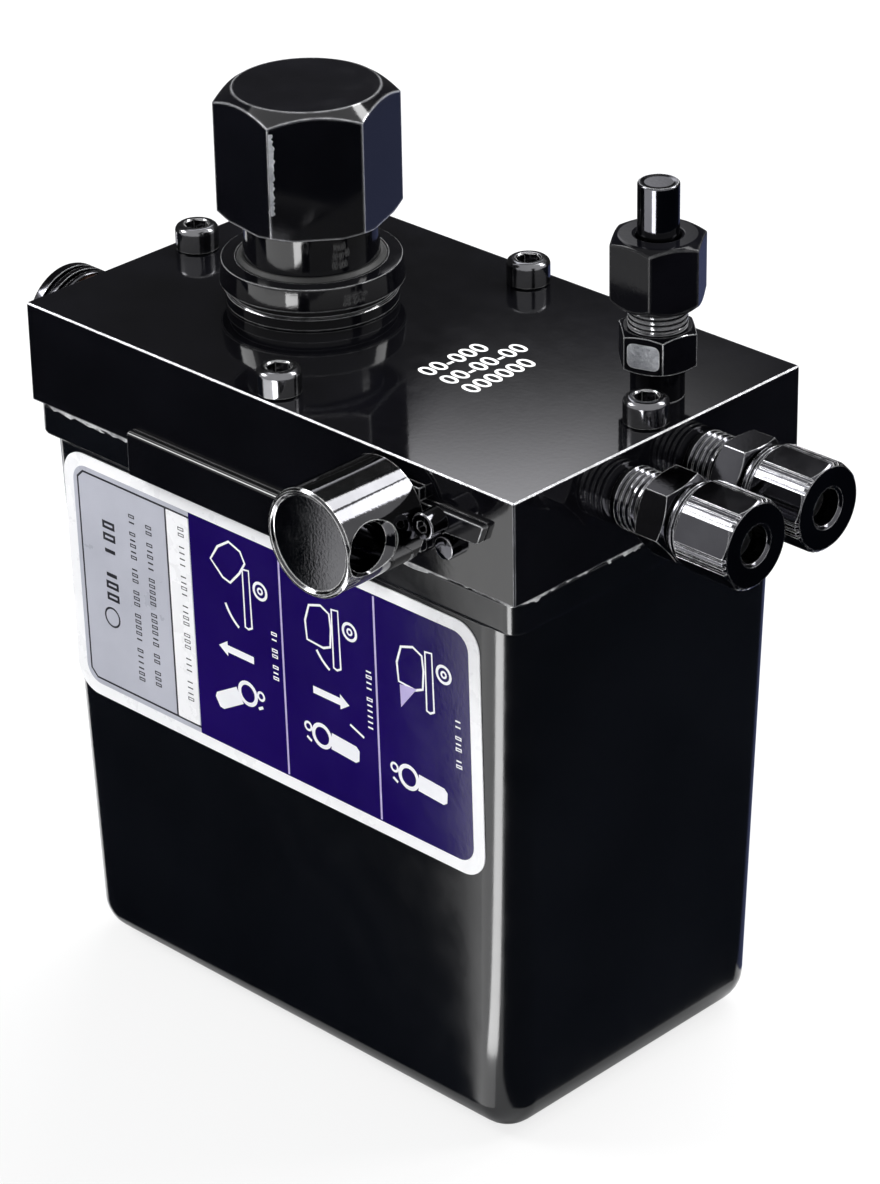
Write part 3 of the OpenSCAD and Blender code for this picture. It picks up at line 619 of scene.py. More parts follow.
head_enamel = recipe("head_enamel", *BLACK, skin=900, depth=0.015,
                     reach=0.80, edge_wear_and_highlight=1.0, bare_and_highlight=(0.85, 0.85, 0.88), shine=0.6)
knob_finish = recipe("blackened_steel", (0.055, 0.055, 0.058), (0.080, 0.080, 0.085), (0.035, 0.075),
                     metal=1.0, skin=1400, depth=0.02, reach=0.40, edge_wear_and_highlight=1.0,
                     bare_and_highlight=(0.85, 0.85, 0.85), shine=0.4)
tank_enamel = recipe("tank_enamel", (0.0018, 0.0022, 0.0032), (0.0032, 0.0038, 0.0056), (0.12, 0.20),
                     skin=500, depth=0.02, broad=25, reach=0.6, edge_wear_and_highlight=0.15, shine=0.3)
ground = recipe("ground_steel", (0.55, 0.56, 0.58), (0.66, 0.67, 0.69), (0.16, 0.30), metal=1.0,
                skin=2200, depth=0.05, stretch=(1, 1, 6), reach=0.2, edge_wear_and_highlight=0.3, bare_and_highlight=(0.8, 0.8, 0.82))
zinc = recipe("zinc_plate", (0.44, 0.45, 0.46), (0.58, 0.57, 0.54), (0.22, 0.38), metal=1.0,
              skin=1500, depth=0.08, reach=0.2, edge_wear_and_highlight=0.3, bare_and_highlight=(0.8, 0.8, 0.8))
spring_wire = recipe("spring_wire", (0.33, 0.33, 0.35), (0.46, 0.46, 0.48), (0.25, 0.4), metal=1.0,
                     skin=2600, depth=0.08, stretch=(1, 1, 4), reach=0.1, edge_wear_and_highlight=0.3)
polished = recipe("polished_balls", (0.72, 0.72, 0.74), (0.78, 0.78, 0.80), (0.05, 0.12), metal=1.0,
                  skin=3000, depth=0.01, reach=0.1, edge_wear_and_highlight=0.1)
brass = recipe("turned_brass", (0.66, 0.48, 0.18), (0.76, 0.58, 0.27), (0.18, 0.34), metal=1.0,
               skin=2000, depth=0.06, stretch=(1, 1, 5), reach=0.2, edge_wear_and_highlight=0.4, bare_and_highlight=(0.85, 0.72, 0.42))
bronze = recipe("sintered_bronze", (0.50, 0.29, 0.13), (0.64, 0.41, 0.21), (0.34, 0.52), metal=1.0,
                skin=3200, depth=0.16, reach=0.2, edge_wear_and_highlight=0.4, bare_and_highlight=(0.78, 0.56, 0.32))
copper = recipe("soft_copper", (0.62, 0.28, 0.16), (0.74, 0.40, 0.26), (0.25, 0.42), metal=1.0,
                skin=1500, depth=0.08, reach=0.15, edge_wear_and_highlight=0.4, bare_and_highlight=(0.88, 0.55, 0.40))
rubber = recipe("nitrile_rubber", (0.014, 0.014, 0.014), (0.026, 0.026, 0.026), (0.5, 0.72),
                skin=2400, depth=0.12, reach=0.2, edge_wear_and_highlight=0.3, bare_and_highlight=(0.06, 0.06, 0.06))
# The bead's near-white second colour is a painted highlight, the glint of gloss over it.
sealant_and_glints = recipe("sealant_painted_glints", (0.08, 0.08, 0.09), (0.80, 0.80, 0.80), (0.35, 0.6),
                 skin=1500, depth=0.5, broad=330, reach=0.3, edge_wear_and_highlight=0.5, bare_and_highlight=(0.7, 0.7, 0.7))
patch_finish = recipe("patch_metal", (0.22, 0.23, 0.25), (0.46, 0.47, 0.50), (0.25, 0.42), metal=0.35,
                   skin=1400, depth=0.25, broad=260, reach=0.3, edge_wear_and_highlight=0.8, bare_and_highlight=(0.8, 0.8, 0.8), shine=0.3)
stamp_ink = recipe("white_ink", (0.74, 0.74, 0.74), (0.90, 0.90, 0.90), (0.4, 0.6),
                   skin=1800, depth=0.2, broad=300)
print("finishes:", len(bpy.data.materials))


# %% [markdown]
# The parts inside the unit keep their working shapes, which are already
# right, and only get their finish.

# %% Finish the parts that keep their shape
KEPT = {
    "shaft_bush": bronze, "shaft_retaining_ring": spring_wire, "shaft_dust_seal": rubber,
    "shaft_oil_seal": rubber, "plunger": ground, "plunger_seals": rubber,
    "bore_end_plug": ground, "end_plug_seal": rubber, "end_plug_ring": spring_wire,
    "suction_seat": brass, "suction_ball": polished, "suction_spring": spring_wire,
    "suction_tube": zinc, "suction_strainer": brass, "delivery_seat": brass,
    "delivery_ball": polished, "delivery_spring": spring_wire, "relief_body": zinc,
    "relief_ball": polished, "relief_spring": spring_wire, "relief_adjuster": brass,
    "return_tube": zinc, "filler_washer": copper, "selector_spool": ground,
    "selector_seals": rubber, "knob_pin": fitting_enamel, "stop_dowel": ground,
    "detent_ball": polished, "detent_spring": spring_wire, "detent_screw": fitting_enamel,
    "port_cutting_rings": zinc, "top_cutting_ring": zinc,
}


def dress(node, material):
    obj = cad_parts[node]
    for slot in obj.material_slots:
        slot.material = material


for node, material in KEPT.items():
    dress(node, material)
print("finished as they are:", len(KEPT))


# %% [markdown]
# ## Pump block
# The block is sawn from flat bar, milled on every side and drilled. Its
# edges are broken with a file, which leaves a narrow chamfer, and the
# enamel's light edge colour there is also a painted highlight. A cube
# of the bar's size is drilled with turned cutters, so that every mouth gets
# its countersink, and its edges are rounded at the end.

# %% Model the block
def cube(name, x0, x1, y0, y1, z0, z1):
    bpy.ops.object.select_all(action="DESELECT")
    bpy.ops.mesh.primitive_cube_add(
        size=MM, location=((x0 + x1) / 2 * MM, (y0 + y1) / 2 * MM, (z0 + z1) / 2 * MM))
    part = bpy.context.object
    part.name = name
    part.scale = (x1 - x0, y1 - y0, z1 - z0)
    bpy.ops.object.transform_apply(location=True, scale=True)
    return part


def drill(part, axis, place, steps):
    bit = turned("bit", steps, 48)
    lay(bit, axis, place)
    boolean(part, bit)


BOLT_X = 55
BORE_Y, BORE_DEEP = -8.2, 13
DETENT_X, DETENT_DEEP = 44.5, 11.55

block = cube("block_body", *BLOCK)
for x in (-BOLT_X, BOLT_X):
    drill(block, "y", (x, BLOCK[3], TOP - 12), [(4, -14), (4, -0.7), (4.8, 0.1), (4.8, 1)])
drill(block, "x", (BLOCK[0], BORE_Y, TOP - BORE_DEEP), [(6.6, -1), (6.6, -0.1), (6.1, 0.6), (6.1, 10)])
drill(block, "y", (DETENT_X, BLOCK[3], TOP - DETENT_DEEP),
      [(4.1, -9), (4.1, -0.4), (4.6, 0.1), (4.6, 1)])
round_edges(block, 0.42, 1, 40)
finish(block, "pump", ["pump_block"], enamel)


# %% [markdown]
# ## Tank
# The tank is pressed from one sheet: it tapers towards its foot, every
# corner is round, and a flat rim at the top carries the block. A cube is
# narrowed at its lower face, then its upright and lower edges are rolled.

# %% Model the tank
MOUTH_X, MOUTH_Y = 73, 44
FOOT_X, FOOT_Y = 68.72, 41.87
RIM_X, RIM_Y, RIM_LOW = 74.5, 44.5, 131.0


def tank_body():
    part = cube("tank_shell", -MOUTH_X, MOUTH_X, -MOUTH_Y, MOUTH_Y, box_mm("tank")[4], RIM_LOW)
    mode("EDIT")
    pick("face", lambda f: f.normal.z < -0.9)
    bpy.ops.transform.resize(value=(FOOT_X / MOUTH_X, FOOT_Y / MOUTH_Y, 1), center_override=(0, 0, 0))
    pick("edge", lambda e: min(v.co.z for v in e.verts) < (RIM_LOW - 1) * MM)
    bpy.ops.mesh.bevel(offset=8.6 * MM, segments=10, affect="EDGES")
    pick("face", lambda f: f.normal.z > 0.99 and middle(f).z > (RIM_LOW - 1) * MM)
    bpy.ops.mesh.inset(thickness=3 * MM, depth=0)
    mode("OBJECT")
    return part


def tank_rim():
    part = cube("rim", -RIM_X, RIM_X, -RIM_Y, RIM_Y, RIM_LOW, box_mm("tank")[5])
    mode("EDIT")
    pick("edge", lambda e: upright(e, 1))
    bpy.ops.mesh.bevel(offset=4 * MM, segments=8, affect="EDGES")
    pick("edge", lambda e: max(v.co.z for v in e.verts) < (RIM_LOW + 0.5) * MM)
    bpy.ops.mesh.bevel(offset=1.1 * MM, segments=4, affect="EDGES")
    mode("OBJECT")
    return part


tank = joined("tank_shell", [tank_body(), tank_rim()])
finish(tank, "pump", ["tank"], tank_enamel, 30)


# %% [markdown]
# ## Sealing compound
# The joint between block and tank was filled with sealing compound, and
# where it was squeezed out it has set in a ragged bead. Its colour runs at
# random from near black to near white, and the near-white patches are
# painted highlights, glints of gloss along the bead. A thin slab is cut
# into short lengths all round, and each length is pushed in or out a little
# at random, from a fixed seed, so the bead is the same every time.

# %% Model the bead
BEAD_SEED = 11


def bead():
    low, high = box_mm("tank_gasket")[4], box_mm("tank_gasket")[5]
    part = cube("sealant_bead", -RIM_X, RIM_X, -RIM_Y, RIM_Y, low - 0.1, high)
    mode("EDIT")
    pick("edge", upright)
    bpy.ops.mesh.bevel(offset=4 * MM, segments=5, affect="EDGES")
    pick("edge", lambda e: length(e) > 20 * MM)
    bpy.ops.mesh.subdivide(number_cuts=190)
    mode("OBJECT")
    chance = random.Random(BEAD_SEED)
    run = 0.0
    for vert in sorted(part.data.vertices, key=lambda v: math.atan2(v.co.y, v.co.x)):
        run = run * 0.82 + chance.uniform(-0.5, 0.5)
        out = max(-0.9, min(0.25, run * 0.6 - 0.15)) * MM
        vert.co.x += out if vert.co.x > 0 else -out
        vert.co.y += out if vert.co.y > 0 else -out
        if vert.co.z < (high - 0.1) * MM:
            vert.co.z += chance.uniform(-0.55, 0.35) * MM
    return part


finish(bead(), "pump", ["tank_gasket"], sealant_and_glints)


# %% [markdown]
# ## Front strip
# A flat bar is fixed along the lower edge of the block's front and covers
# the joint above the label. Its upper edge is rounded over by the paint.

# %% Model the strip
def strip():
    part = cube("front_strip_bar", *box_mm("front_strip"))
    mode("EDIT")
    front, upper = box_mm("front_strip")[2], box_mm("front_strip")[5]
    pick("edge", lambda e: min(v.co.z for v in e.verts) > (upper - 1) * MM
         and max(v.co.y for v in e.verts) < (front + 1) * MM)
    bpy.ops.mesh.bevel(offset=0.9 * MM, segments=5, affect="EDGES")
    mode("OBJECT")
    round_edges(part, 0.25, 2, 50)
    return part


finish(strip(), "pump", ["front_strip"], enamel)


# %% [markdown]
# ## Cover screws
# Four socket screws hold the block on the tank. One is turned and its
# hexagon socket is cut. Its copies go to the four places.

# %% Model the cover screws
def six_sided_cut(part, flats, low, high):
    boolean(part, prism("bit", flats, low, high, 0))


SCREW_PLACES = [(-69, 2), (69, 2), (1, -39.5), (1, 38.5)]


def cover_screw():
    part = turned("screw", [(3, -38), (3, 0), (4.6, 0), (5, 0.4), (5, 4.6), (4.9, 5.1),
                            (4.65, 5.5), (4.2, 5.85), (3.7, 6.0), (2.95, 6.0), (2.75, 5.7)], 48)
    six_sided_cut(part, 5, 2.5, 8)
    round_edges(part, 0.12, 2, 35)
    return part


def cover_screws():
    pattern = cover_screw()
    screws = [copied(pattern, (x, y, TOP)) for x, y in SCREW_PLACES]
    bpy.data.objects.remove(pattern, do_unlink=True)
    return joined("socket_screws", screws)


finish(cover_screws(), "pump", ["cover_screws"], screw_finish)


# %% [markdown]
# ## Shaft collar
# The collar guides the shaft out of the block. It is one turned piece with a
# groove round its middle and an open mouth, in which the dust seal and its
# ring sit, so the lathe helper also goes back down inside.

# %% Model the collar
DRIVE = (-29.5, 0.5, TOP)


def collar():
    part = turned("drive_collar", [
        (19.2, 0), (19.5, 0.3), (19.5, 2.7), (19.2, 3.0), (18.75, 3.1), (18.75, 4.9),
        (20.6, 5.0), (20.9, 5.3), (20.9, 6.0), (20.45, 9.9), (20.3, 10.35), (20.0, 10.5),
        (17.2, 10.5), (16.8, 10.2), (16.8, 5.2)], 128)
    lay(part, "z", DRIVE)
    return part


finish(collar(), "pump", ["shaft_collar"], gloss_enamel)


# %% [markdown]
# ## Drive shaft
# The shaft carries the hexagon for the bar. The head is a prism whose
# corners were turned off at both ends, and the neck, the shoulder, the
# journal and the crank pin below it are turned. Head and shaft are one.

# %% Model the shaft
def shaft():
    head = turned_hexagon("head", 36, 21, 50.5, 33.0, 3.0, 37.4, 1.3, -8.8)
    round_edges(head, 0.5, 3, 12)
    neck = turned("neck", [(12.8, -6.8), (13, -6.5), (13, 5.5), (16.5, 5.5), (16.5, 7.3),
                           (15.35, 7.3), (15.35, 20.0), (15.0, 21.2)], 128)
    pin = turned("pin", [(3.5, -15), (3.8, -14.6), (3.8, -6)], 48)
    lay(pin, "z", (0, -9, 0))
    part = joined("drive_head", [head, neck, pin])
    lay(part, "z", DRIVE)
    return part


# %% [markdown]
# A lighter, rougher patch of metal lies on one flat of a hexagon. It is a
# thin patch with round corners, and one side of it may be frayed. The flat
# is found by the way it faces, so the patch fits whatever the hexagon's
# turn is.

# %% Patches on hexagon flats
PATCH_SEED = 7


def fray(mark, middle_x, ragged):
    chance = random.Random(PATCH_SEED)
    shifts = {}
    for vert in mark.data.vertices:
        row = round(vert.co.y / MM * 2)
        shifts.setdefault(row, chance.uniform(-ragged, ragged))
        if vert.co.x > middle_x * MM:
            vert.co.x += shifts[row] * MM


# Lays a lighter, rougher patch on the flat of a hexagon that faces a given way.
def flat_patch(name, part, way, levels, foot, reach, patch, radius, ragged=0.0):
    aim = Vector(way).normalized()
    flats = [f for f in part.data.polygons if levels[0] * MM < f.center.z < levels[1] * MM]
    flat = max(flats, key=lambda f: f.normal.dot(aim) * f.area ** 0.5).normal.copy()
    mark = cube(name, *patch, 0.0, 0.05)
    mode("EDIT")
    pick("edge", lambda e: upright(e, 0.01))
    bpy.ops.mesh.bevel(offset=radius * MM, segments=4, affect="EDGES")
    if ragged:
        pick("edge", lambda e: length(e) > 10 * MM)
        bpy.ops.mesh.subdivide(number_cuts=40)
    mode("OBJECT")
    if ragged:
        fray(mark, (patch[0] + patch[1]) / 2, ragged)
    mark.data.transform(
        Matrix.Translation(Vector(foot) * MM + flat * reach * MM)
        @ Matrix.Rotation(math.atan2(flat.y, flat.x) + math.pi / 2, 4, "Z")
        @ Matrix.Rotation(math.pi / 2, 4, "X"))
    print(name, "lies on the flat that faces", [round(v, 2) for v in flat])
    return mark


spindle = shaft()
head_patch = flat_patch("head_flat_patch", spindle, (0.71, -0.71, 0), (TOP + 30, TOP + 44), DRIVE, 17.99,
                (-10.15, -9.2, 27.5, 46.5), 0.25, 0.4)
finish(spindle, "shaft", ["drive_shaft"], head_enamel, 24)
finish(head_patch, "shaft", [], patch_finish)


# %% [markdown]
# ## Filler plug
# The oil goes in through the left face. The plug has a wide flange that
# presses on a copper washer, a ribbed head to grip and a hexagon socket.

# %% Model the filler plug
def filler():
    part = turned("filler_cap", [
        (11.2, 0), (11.9, 0.6), (12, 0.9), (12, 2.9), (10.6, 3.1), (10.6, 4.1), (12, 4.3), (12, 5.7),
        (10.6, 5.9), (10.6, 6.9), (12, 7.1), (12, 8.2), (11.7, 8.5), (8, 8.5), (8, 16.5)], 96)
    six_sided_cut(part, 8, -2, 5)
    round_edges(part, 0.15, 2, 35)
    lay(part, "x", (BLOCK[0] - 10, -25, TOP - 12))
    return part


finish(filler(), "pump", ["filler_plug"], fitting_enamel)


# %% [markdown]
# ## Selector knob
# A plain round knob on the front turns the selector. Its front face is
# dished inside a thin rim, and a hole across it takes a bar. The hole is
# drilled with a bit that has a countersink at both ends.

# %% Model the knob
KNOB = box_mm("selector_knob")
KNOB_X = (KNOB[0] + KNOB[1]) / 2
KNOB_Z = (KNOB[4] + KNOB[5]) / 2


def knob():
    r = (KNOB[1] - KNOB[0]) / 2
    length = KNOB[3] - KNOB[2]
    part = turned("selector_grip", [
        (5.2, 0.75), (r - 1.6, 0.6), (r - 1.3, 0.3), (r - 1.05, 0), (r - 0.5, 0), (r, 0.5),
        (r, length - 0.5), (r - 0.5, length)], 128)
    bit = turned("bit", [(6.9, -14), (6.9, -11.6), (5.5, -10.0), (5.5, 10.0), (6.9, 11.6), (6.9, 14)], 64)
    lay(bit, "x", (0, 0, 7.2))
    boolean(part, bit)
    round_edges(part, 0.3, 3, 30)
    lay(part, "y", (KNOB_X, KNOB[2], KNOB_Z))
    return part


finish(knob(), "selector", ["selector_knob"], knob_finish, 28)


# %% [markdown]
# ## Keeper
# A thin plate hooks into a groove behind the knob and keeps the spool in.
# It is held by a small socket screw, and a pin beside it stops it turning.
# Its outline is a filled ring of points, each put in its place, and the
# outline is then pulled up by the plate's thickness.

# %% Model the keeper plate
def outline(name, points, thickness):
    bpy.ops.object.select_all(action="DESELECT")
    bpy.ops.mesh.primitive_circle_add(vertices=len(points), radius=0.01, fill_type="NGON")
    part = bpy.context.object
    part.name = name
    mode("EDIT")
    mesh = bmesh.from_edit_mesh(part.data)
    for vert, (x, y) in zip(mesh.verts, points):
        vert.co = (x * MM, y * MM, 0)
    bmesh.update_edit_mesh(part.data)
    bpy.ops.mesh.select_all(action="SELECT")
    bpy.ops.mesh.extrude_region_move(TRANSFORM_OT_translate={"value": (0, 0, thickness * MM)})
    bpy.ops.mesh.select_all(action="SELECT")
    bpy.ops.mesh.normals_make_consistent(inside=False)
    mode("OBJECT")
    return part


def keeper():
    points = [(33, -19), (50, -19), (50, -12), (54.2, -12), (66, -11.6), (66.6, -11.2), (68, -7.4),
              (67.6, -7), (50, -7), (50, -4.1), (33, -4.1)]
    part = outline("keeper", points, 2)
    round_edges(part, 0.3, 2, 40)
    part.rotation_euler = (math.pi / 2, 0, 0)
    part.location = (0, BLOCK[2] * MM, TOP * MM)
    return part


finish(keeper(), "pump", ["keeper_plate"], nut_enamel)


# %% [markdown]
# The keeper's screw and the locating pin are small turned parts. The screw
# gets a socket and the pin a domed end.

# %% Model the keeper's screw and pin
def stand_in_front(part, box):
    lay(part, "y", ((box[0] + box[1]) / 2, box[2], (box[4] + box[5]) / 2))
    return part


def keeper_screw():
    part = turned("keeper_bolt", [
        (2.5, 0), (2.8, 0.05), (3, 0.35), (3, 4.8), (2.8, 5), (2, 5), (2, 14.5)], 48)
    six_sided_cut(part, 2.5, -2, 2)
    round_edges(part, 0.08, 2, 35)
    return stand_in_front(part, box_mm("keeper_screw"))


def locating_pin():
    box = box_mm("locating_pin")
    r = (box[1] - box[0]) / 2
    part = turned("dowel", [
        (r * 0.35, 0), (r * 0.7, 0.15), (r * 0.92, 0.45), (r, 1.0), (r, box[3] - box[2])], 48)
    return stand_in_front(part, box)


finish(keeper_screw(), "pump", ["keeper_screw"], fitting_enamel)
finish(locating_pin(), "pump", ["locating_pin"], fitting_enamel)


# %% [markdown]
# ## Port fittings
# Two tube fittings leave the right face. Each adaptor shows some thread, a
# hexagon, and then the nut. The thread is a row of turned ridges, which at
# this size can't be told from a helix.

# %% Model the port adaptors
PORT_Y = (-9.7, 13.3)
PORT_Z = TOP - 11


def ridges(count, pitch, crest, root, heights):
    steps = []
    for k in range(count):
        up, over, down, on = [h + pitch * k for h in heights]
        steps += [(crest, up), (crest, over), (root, down), (root, on)]
    return steps


def adaptor(turn):
    thread = ridges(5, 1.5, 7.0, 6.3, (1.3, 1.7, 2.3, 2.5))
    stem = turned("stem", [(6.4, -6.5), (6.4, 0), (6.8, 0.6)] + thread + [(7.0, 9.1)], 64)
    hexagon = turned_hexagon("hexagon", 17, 9.0, 16.8, 15.8, 1.1, 15.8, 1.1, turn)
    round_edges(hexagon, 0.3, 2, 12)
    tail = turned("tail", [(6.5, 16.7), (6.5, 17.0), (6.1, 17.3), (6.5, 17.6), (6.5, 25)], 64)
    return joined("adaptor", [stem, hexagon, tail])


def adaptors():
    parts = []
    for y, turn in zip(PORT_Y, (41, 30)):
        part = adaptor(turn)
        lay(part, "x", (BLOCK[1], y, PORT_Z))
        parts.append(part)
    return joined("port_stems", parts)


finish(adaptors(), "pump", ["port_adaptors"], fitting_enamel, 24)


# %% [markdown]
# The nut has six flat lands with three slots along every corner, a turned
# collar at its back and an open mouth. A hexagon is turned down, one thin
# slab cuts a slot, and the slab is turned round the nut for the others.

# %% Model the port nuts
NUT_LONG = 17.1
NUT_STANDS = 17.4
SLOT_APART = 9


def nut(turn):
    part = turned_hexagon("nut", 18.8, 2.5, NUT_LONG, 18.4, 0.7, 17.6, 1.1, turn, 19.8)
    for corner in range(6):
        for side in (-1, 0, 1):
            slab = cube("slab", 9.38, 11, -0.34, 0.34, 3.3, NUT_LONG + 1)
            angle = math.radians(turn + 60 * corner + SLOT_APART * side)
            slab.data.transform(Matrix.Rotation(angle, 4, "Z"))
            boolean(part, slab)
    back = turned("back", [(8.3, 0), (9.0, 0.8), (9.0, 1.7), (8.5, 2.0), (8.5, 2.4), (8.9, 2.8)], 96)
    boolean(part, back, "UNION")
    return part


def trimmed(part):
    cutter = turned("cutter", [(6.55, -1), (6.55, 9.5), (5.0, 12.3), (4.1, 12.35), (4.1, 16.5),
                               (4.9, 17.2), (4.9, 19)], 64)
    boolean(part, cutter)
    round_edges(part, 0.14, 2, 25)
    return part


def port_nuts():
    parts = []
    for y, turn in zip(PORT_Y, (40, 42)):
        part = trimmed(nut(turn))
        lay(part, "x", (BLOCK[1] + NUT_STANDS, y, PORT_Z))
        parts.append(part)
    return joined("port_nut_pair", parts)


finish(port_nuts(), "pump", ["port_nuts"], fitting_enamel, 24)


# %% [markdown]
# ## Top fitting
# The third port is on top and is shut with a blanking stub. It is made in
# the same way: neck, hexagon, threaded neck, nut and stub. One flat of its
# hexagon carries a lighter patch.

# %% Model the top fitting
TOP_PORT = (61.5, 14, TOP)


def top_adaptor():
    neck = turned("neck", [(5, -6), (5, 0), (5.85, 0), (5.85, 7.4)], 64)
    hexagon = turned_hexagon("hexagon", 15.6, 7.3, 16.1, 14.6, 0.9, 14.6, 0.9, 18.5)
    round_edges(hexagon, 0.35, 2, 12)
    thread = ridges(4, 1.2, 6.5, 6.0, (16.6, 16.9, 17.3, 17.5))
    upper = turned("upper", [(6.1, 16.0)] + thread + [(6.5, 22)], 64)
    part = joined("top_stem", [neck, hexagon, upper])
    lay(part, "z", TOP_PORT)
    return part


def top_nut():
    part = turned_hexagon("top_cap_nut", 19, 21, 37, 17.4, 1.3, 16.5, 2.6, 1.7)
    bit = turned("bit", [
        (6.5, 20), (6.5, 29.5), (5.5, 33), (4.7, 33.1), (4.7, 36.4), (5.4, 37.1), (5.4, 38)], 64)
    boolean(part, bit)
    round_edges(part, 0.4, 3, 12)
    lay(part, "z", TOP_PORT)
    return part


def top_stub():
    part = turned("blanking_stub", [
        (4.5, 18.5), (4.5, 48.2), (4.4, 48.45), (4.2, 48.6), (3.2, 48.6), (3.0, 48.5)], 64)
    lay(part, "z", TOP_PORT)
    return part


stem = top_adaptor()
patch = flat_patch("stem_flat_patch", stem, (0.37, -0.93, 0), (TOP + 8, TOP + 15.5), TOP_PORT, 7.79,
                  (-3.7, 3.7, 8.8, 14.4), 1.4)
finish(stem, "pump", ["top_adaptor"], nut_enamel, 24)
finish(patch, "pump", [], patch_finish)
finish(top_nut(), "pump", ["top_nut"], nut_enamel, 24)
finish(top_stub(), "pump", ["top_stub"], fitting_enamel)


# %% [markdown]
# ## Stamped numbers
# Three rows of plain numbers stand on the block's top. They are written as
# text objects, given a little thickness, made meshes and then laid down so
# that they read away from the front edge.

# %% Model the numbers
def number_row(body, x):
    bpy.ops.object.select_all(action="DESELECT")
    bpy.ops.object.text_add(location=(0, 0, 0))
    words = bpy.context.object
    words.data.body = body
    words.data.size = 6.6 * MM
    words.data.space_character = 1.04
    words.data.extrude = 0.02 * MM
    words.data.offset = 0.10 * MM
    bpy.ops.object.convert(target="MESH")
    row = bpy.context.object
    row.rotation_euler = (0, 0, math.pi / 2)
    row.location = (x * MM, -0.0125, (TOP + 0.02) * MM)
    bpy.ops.object.transform_apply(location=True, rotation=True)
    return row


numbers = joined("stamped_numbers", [
    number_row("00-000", 19.6), number_row("00-00-00", 26.1), number_row("000000", 32.6)])
finish(numbers, "pump", [], stamp_ink)


# %% [markdown]
# ## Label
# The label is a thin foil with round corners on the sloping front of the
# tank. It is built flat, in layers a few hundredths of a millimetre apart:
# a white sheet, a silver panel, an indigo panel, and the printed lines. At
# the end every layer is stood up against the slope by the same matrix.

# %% The label's plane
LABEL = box_mm("label_plate")
FOIL = 0.4
LABEL_SLOPE = math.atan((LABEL[3] - LABEL[2] - FOIL) / (LABEL[5] - LABEL[4]))
LABEL_TILT = (
    Matrix.Translation((0, (LABEL[2] + FOIL) * MM, LABEL[5] * MM))
    @ Matrix.Rotation(math.pi / 2 + LABEL_SLOPE, 4, "X")
    @ Matrix.Translation((0, -LABEL[5] * MM, 0)))


def stood_up(part):
    part.data.transform(LABEL_TILT)
    return part


def plate(name, x0, x1, z0, z1, radius, low, high, corners=lambda v: True):
    part = cube(name, x0, x1, z0, z1, low, high)
    mode("EDIT")
    pick("edge", lambda e: upright(e, 0.01) and corners(middle(e)))
    bpy.ops.mesh.bevel(offset=radius * MM, segments=10, affect="EDGES")
    mode("OBJECT")
    return part


print("label slope", round(math.degrees(LABEL_SLOPE), 2), "degrees")


# %% [markdown]
# The three sheets. Corners are rounded only on the sides that meet the
# white border, so the panels butt against each other with a straight edge.

# %% Model the sheets
foil_white = recipe("foil_white", (0.88, 0.88, 0.90), (0.94, 0.94, 0.95), (0.24, 0.34), skin=600,
                    depth=0.03, broad=30, reach=0.2, edge_wear_and_highlight=0.3, bare_and_highlight=(0.9, 0.9, 0.9), shine=0.0)
foil_silver = recipe("foil_silver", (0.40, 0.41, 0.47), (0.50, 0.51, 0.58), (0.26, 0.38),
                     skin=2400, depth=0.05, broad=22)
foil_indigo = recipe("foil_indigo", (0.0075, 0.0012, 0.080), (0.0110, 0.0018, 0.105), (0.10, 0.17),
                     skin=700, depth=0.03, broad=24)
PANEL_LEFT, PANELS_MEET, PANEL_RIGHT = -63.4, -25.0, 60.6
PANEL_LOW, PANEL_HIGH = 70.6, 127.0
SHEET_TOP, PANEL_TOP, BAND_TOP, INK_TOP = 0.26, 0.30, 0.315, 0.34
INK_FOOT = 0.28


def panel(name, left, right, beside_border):
    return plate(name, left, right, PANEL_LOW, PANEL_HIGH, 4.4, 0.2, PANEL_TOP, beside_border)


sheet = plate("label_sheet", LABEL[0], LABEL[1], LABEL[4], LABEL[5], 6.5, 0.0, SHEET_TOP)
finish(stood_up(sheet), "pump", ["label_plate"], foil_white)
silver = panel("label_silver", PANEL_LEFT, PANELS_MEET, lambda v: v.x < -0.05)
finish(stood_up(silver), "pump", [], foil_silver)
band = plate("label_band", -32.4, -25.3, 72.3, 125.4, 0.5, 0.24, BAND_TOP)
finish(stood_up(band), "pump", [], foil_white)
indigo = panel("label_indigo", PANELS_MEET, PANEL_RIGHT, lambda v: v.x > 0.05)
finish(stood_up(indigo), "pump", [], foil_indigo)


# %% [markdown]
# Printed lines are drawn as a curve through a few points with a round
# section, turned to mesh and pressed nearly flat. Filled shapes are outlines
# that are pulled up by the thickness of the ink.

# %% Lines and filled shapes
INK = {"skin": 900, "depth": 0.05}
ink_white = recipe("ink_white", (0.82, 0.82, 0.86), (0.90, 0.90, 0.92), (0.3, 0.42), **INK)
ink_lilac = recipe("ink_lilac", (0.40, 0.33, 0.62), (0.50, 0.44, 0.72), (0.3, 0.42), **INK)
ink_black = recipe("ink_black", (0.010, 0.010, 0.016), (0.022, 0.022, 0.030), (0.3, 0.42), **INK)


def line(points, width, closed=False):
    data = bpy.data.curves.new("line", "CURVE")
    data.dimensions = "3D"
    data.bevel_depth = width / 2 * MM
    data.bevel_resolution = 1
    data.use_fill_caps = True
    spline = data.splines.new("POLY")
    spline.points.add(len(points) - 1)
    for point, (x, z) in zip(spline.points, points):
        point.co = (x * MM, z * MM, 0, 1)
    spline.use_cyclic_u = closed
    obj = bpy.data.objects.new("line", data)
    bpy.context.scene.collection.objects.link(obj)
    only(obj)
    bpy.ops.object.convert(target="MESH")
    part = bpy.context.object
    press = Matrix.Scale((INK_TOP - PANEL_TOP) * 2 / width, 4, (0, 0, 1))
    part.data.transform(Matrix.Translation((0, 0, PANEL_TOP * MM)) @ press)
    return part


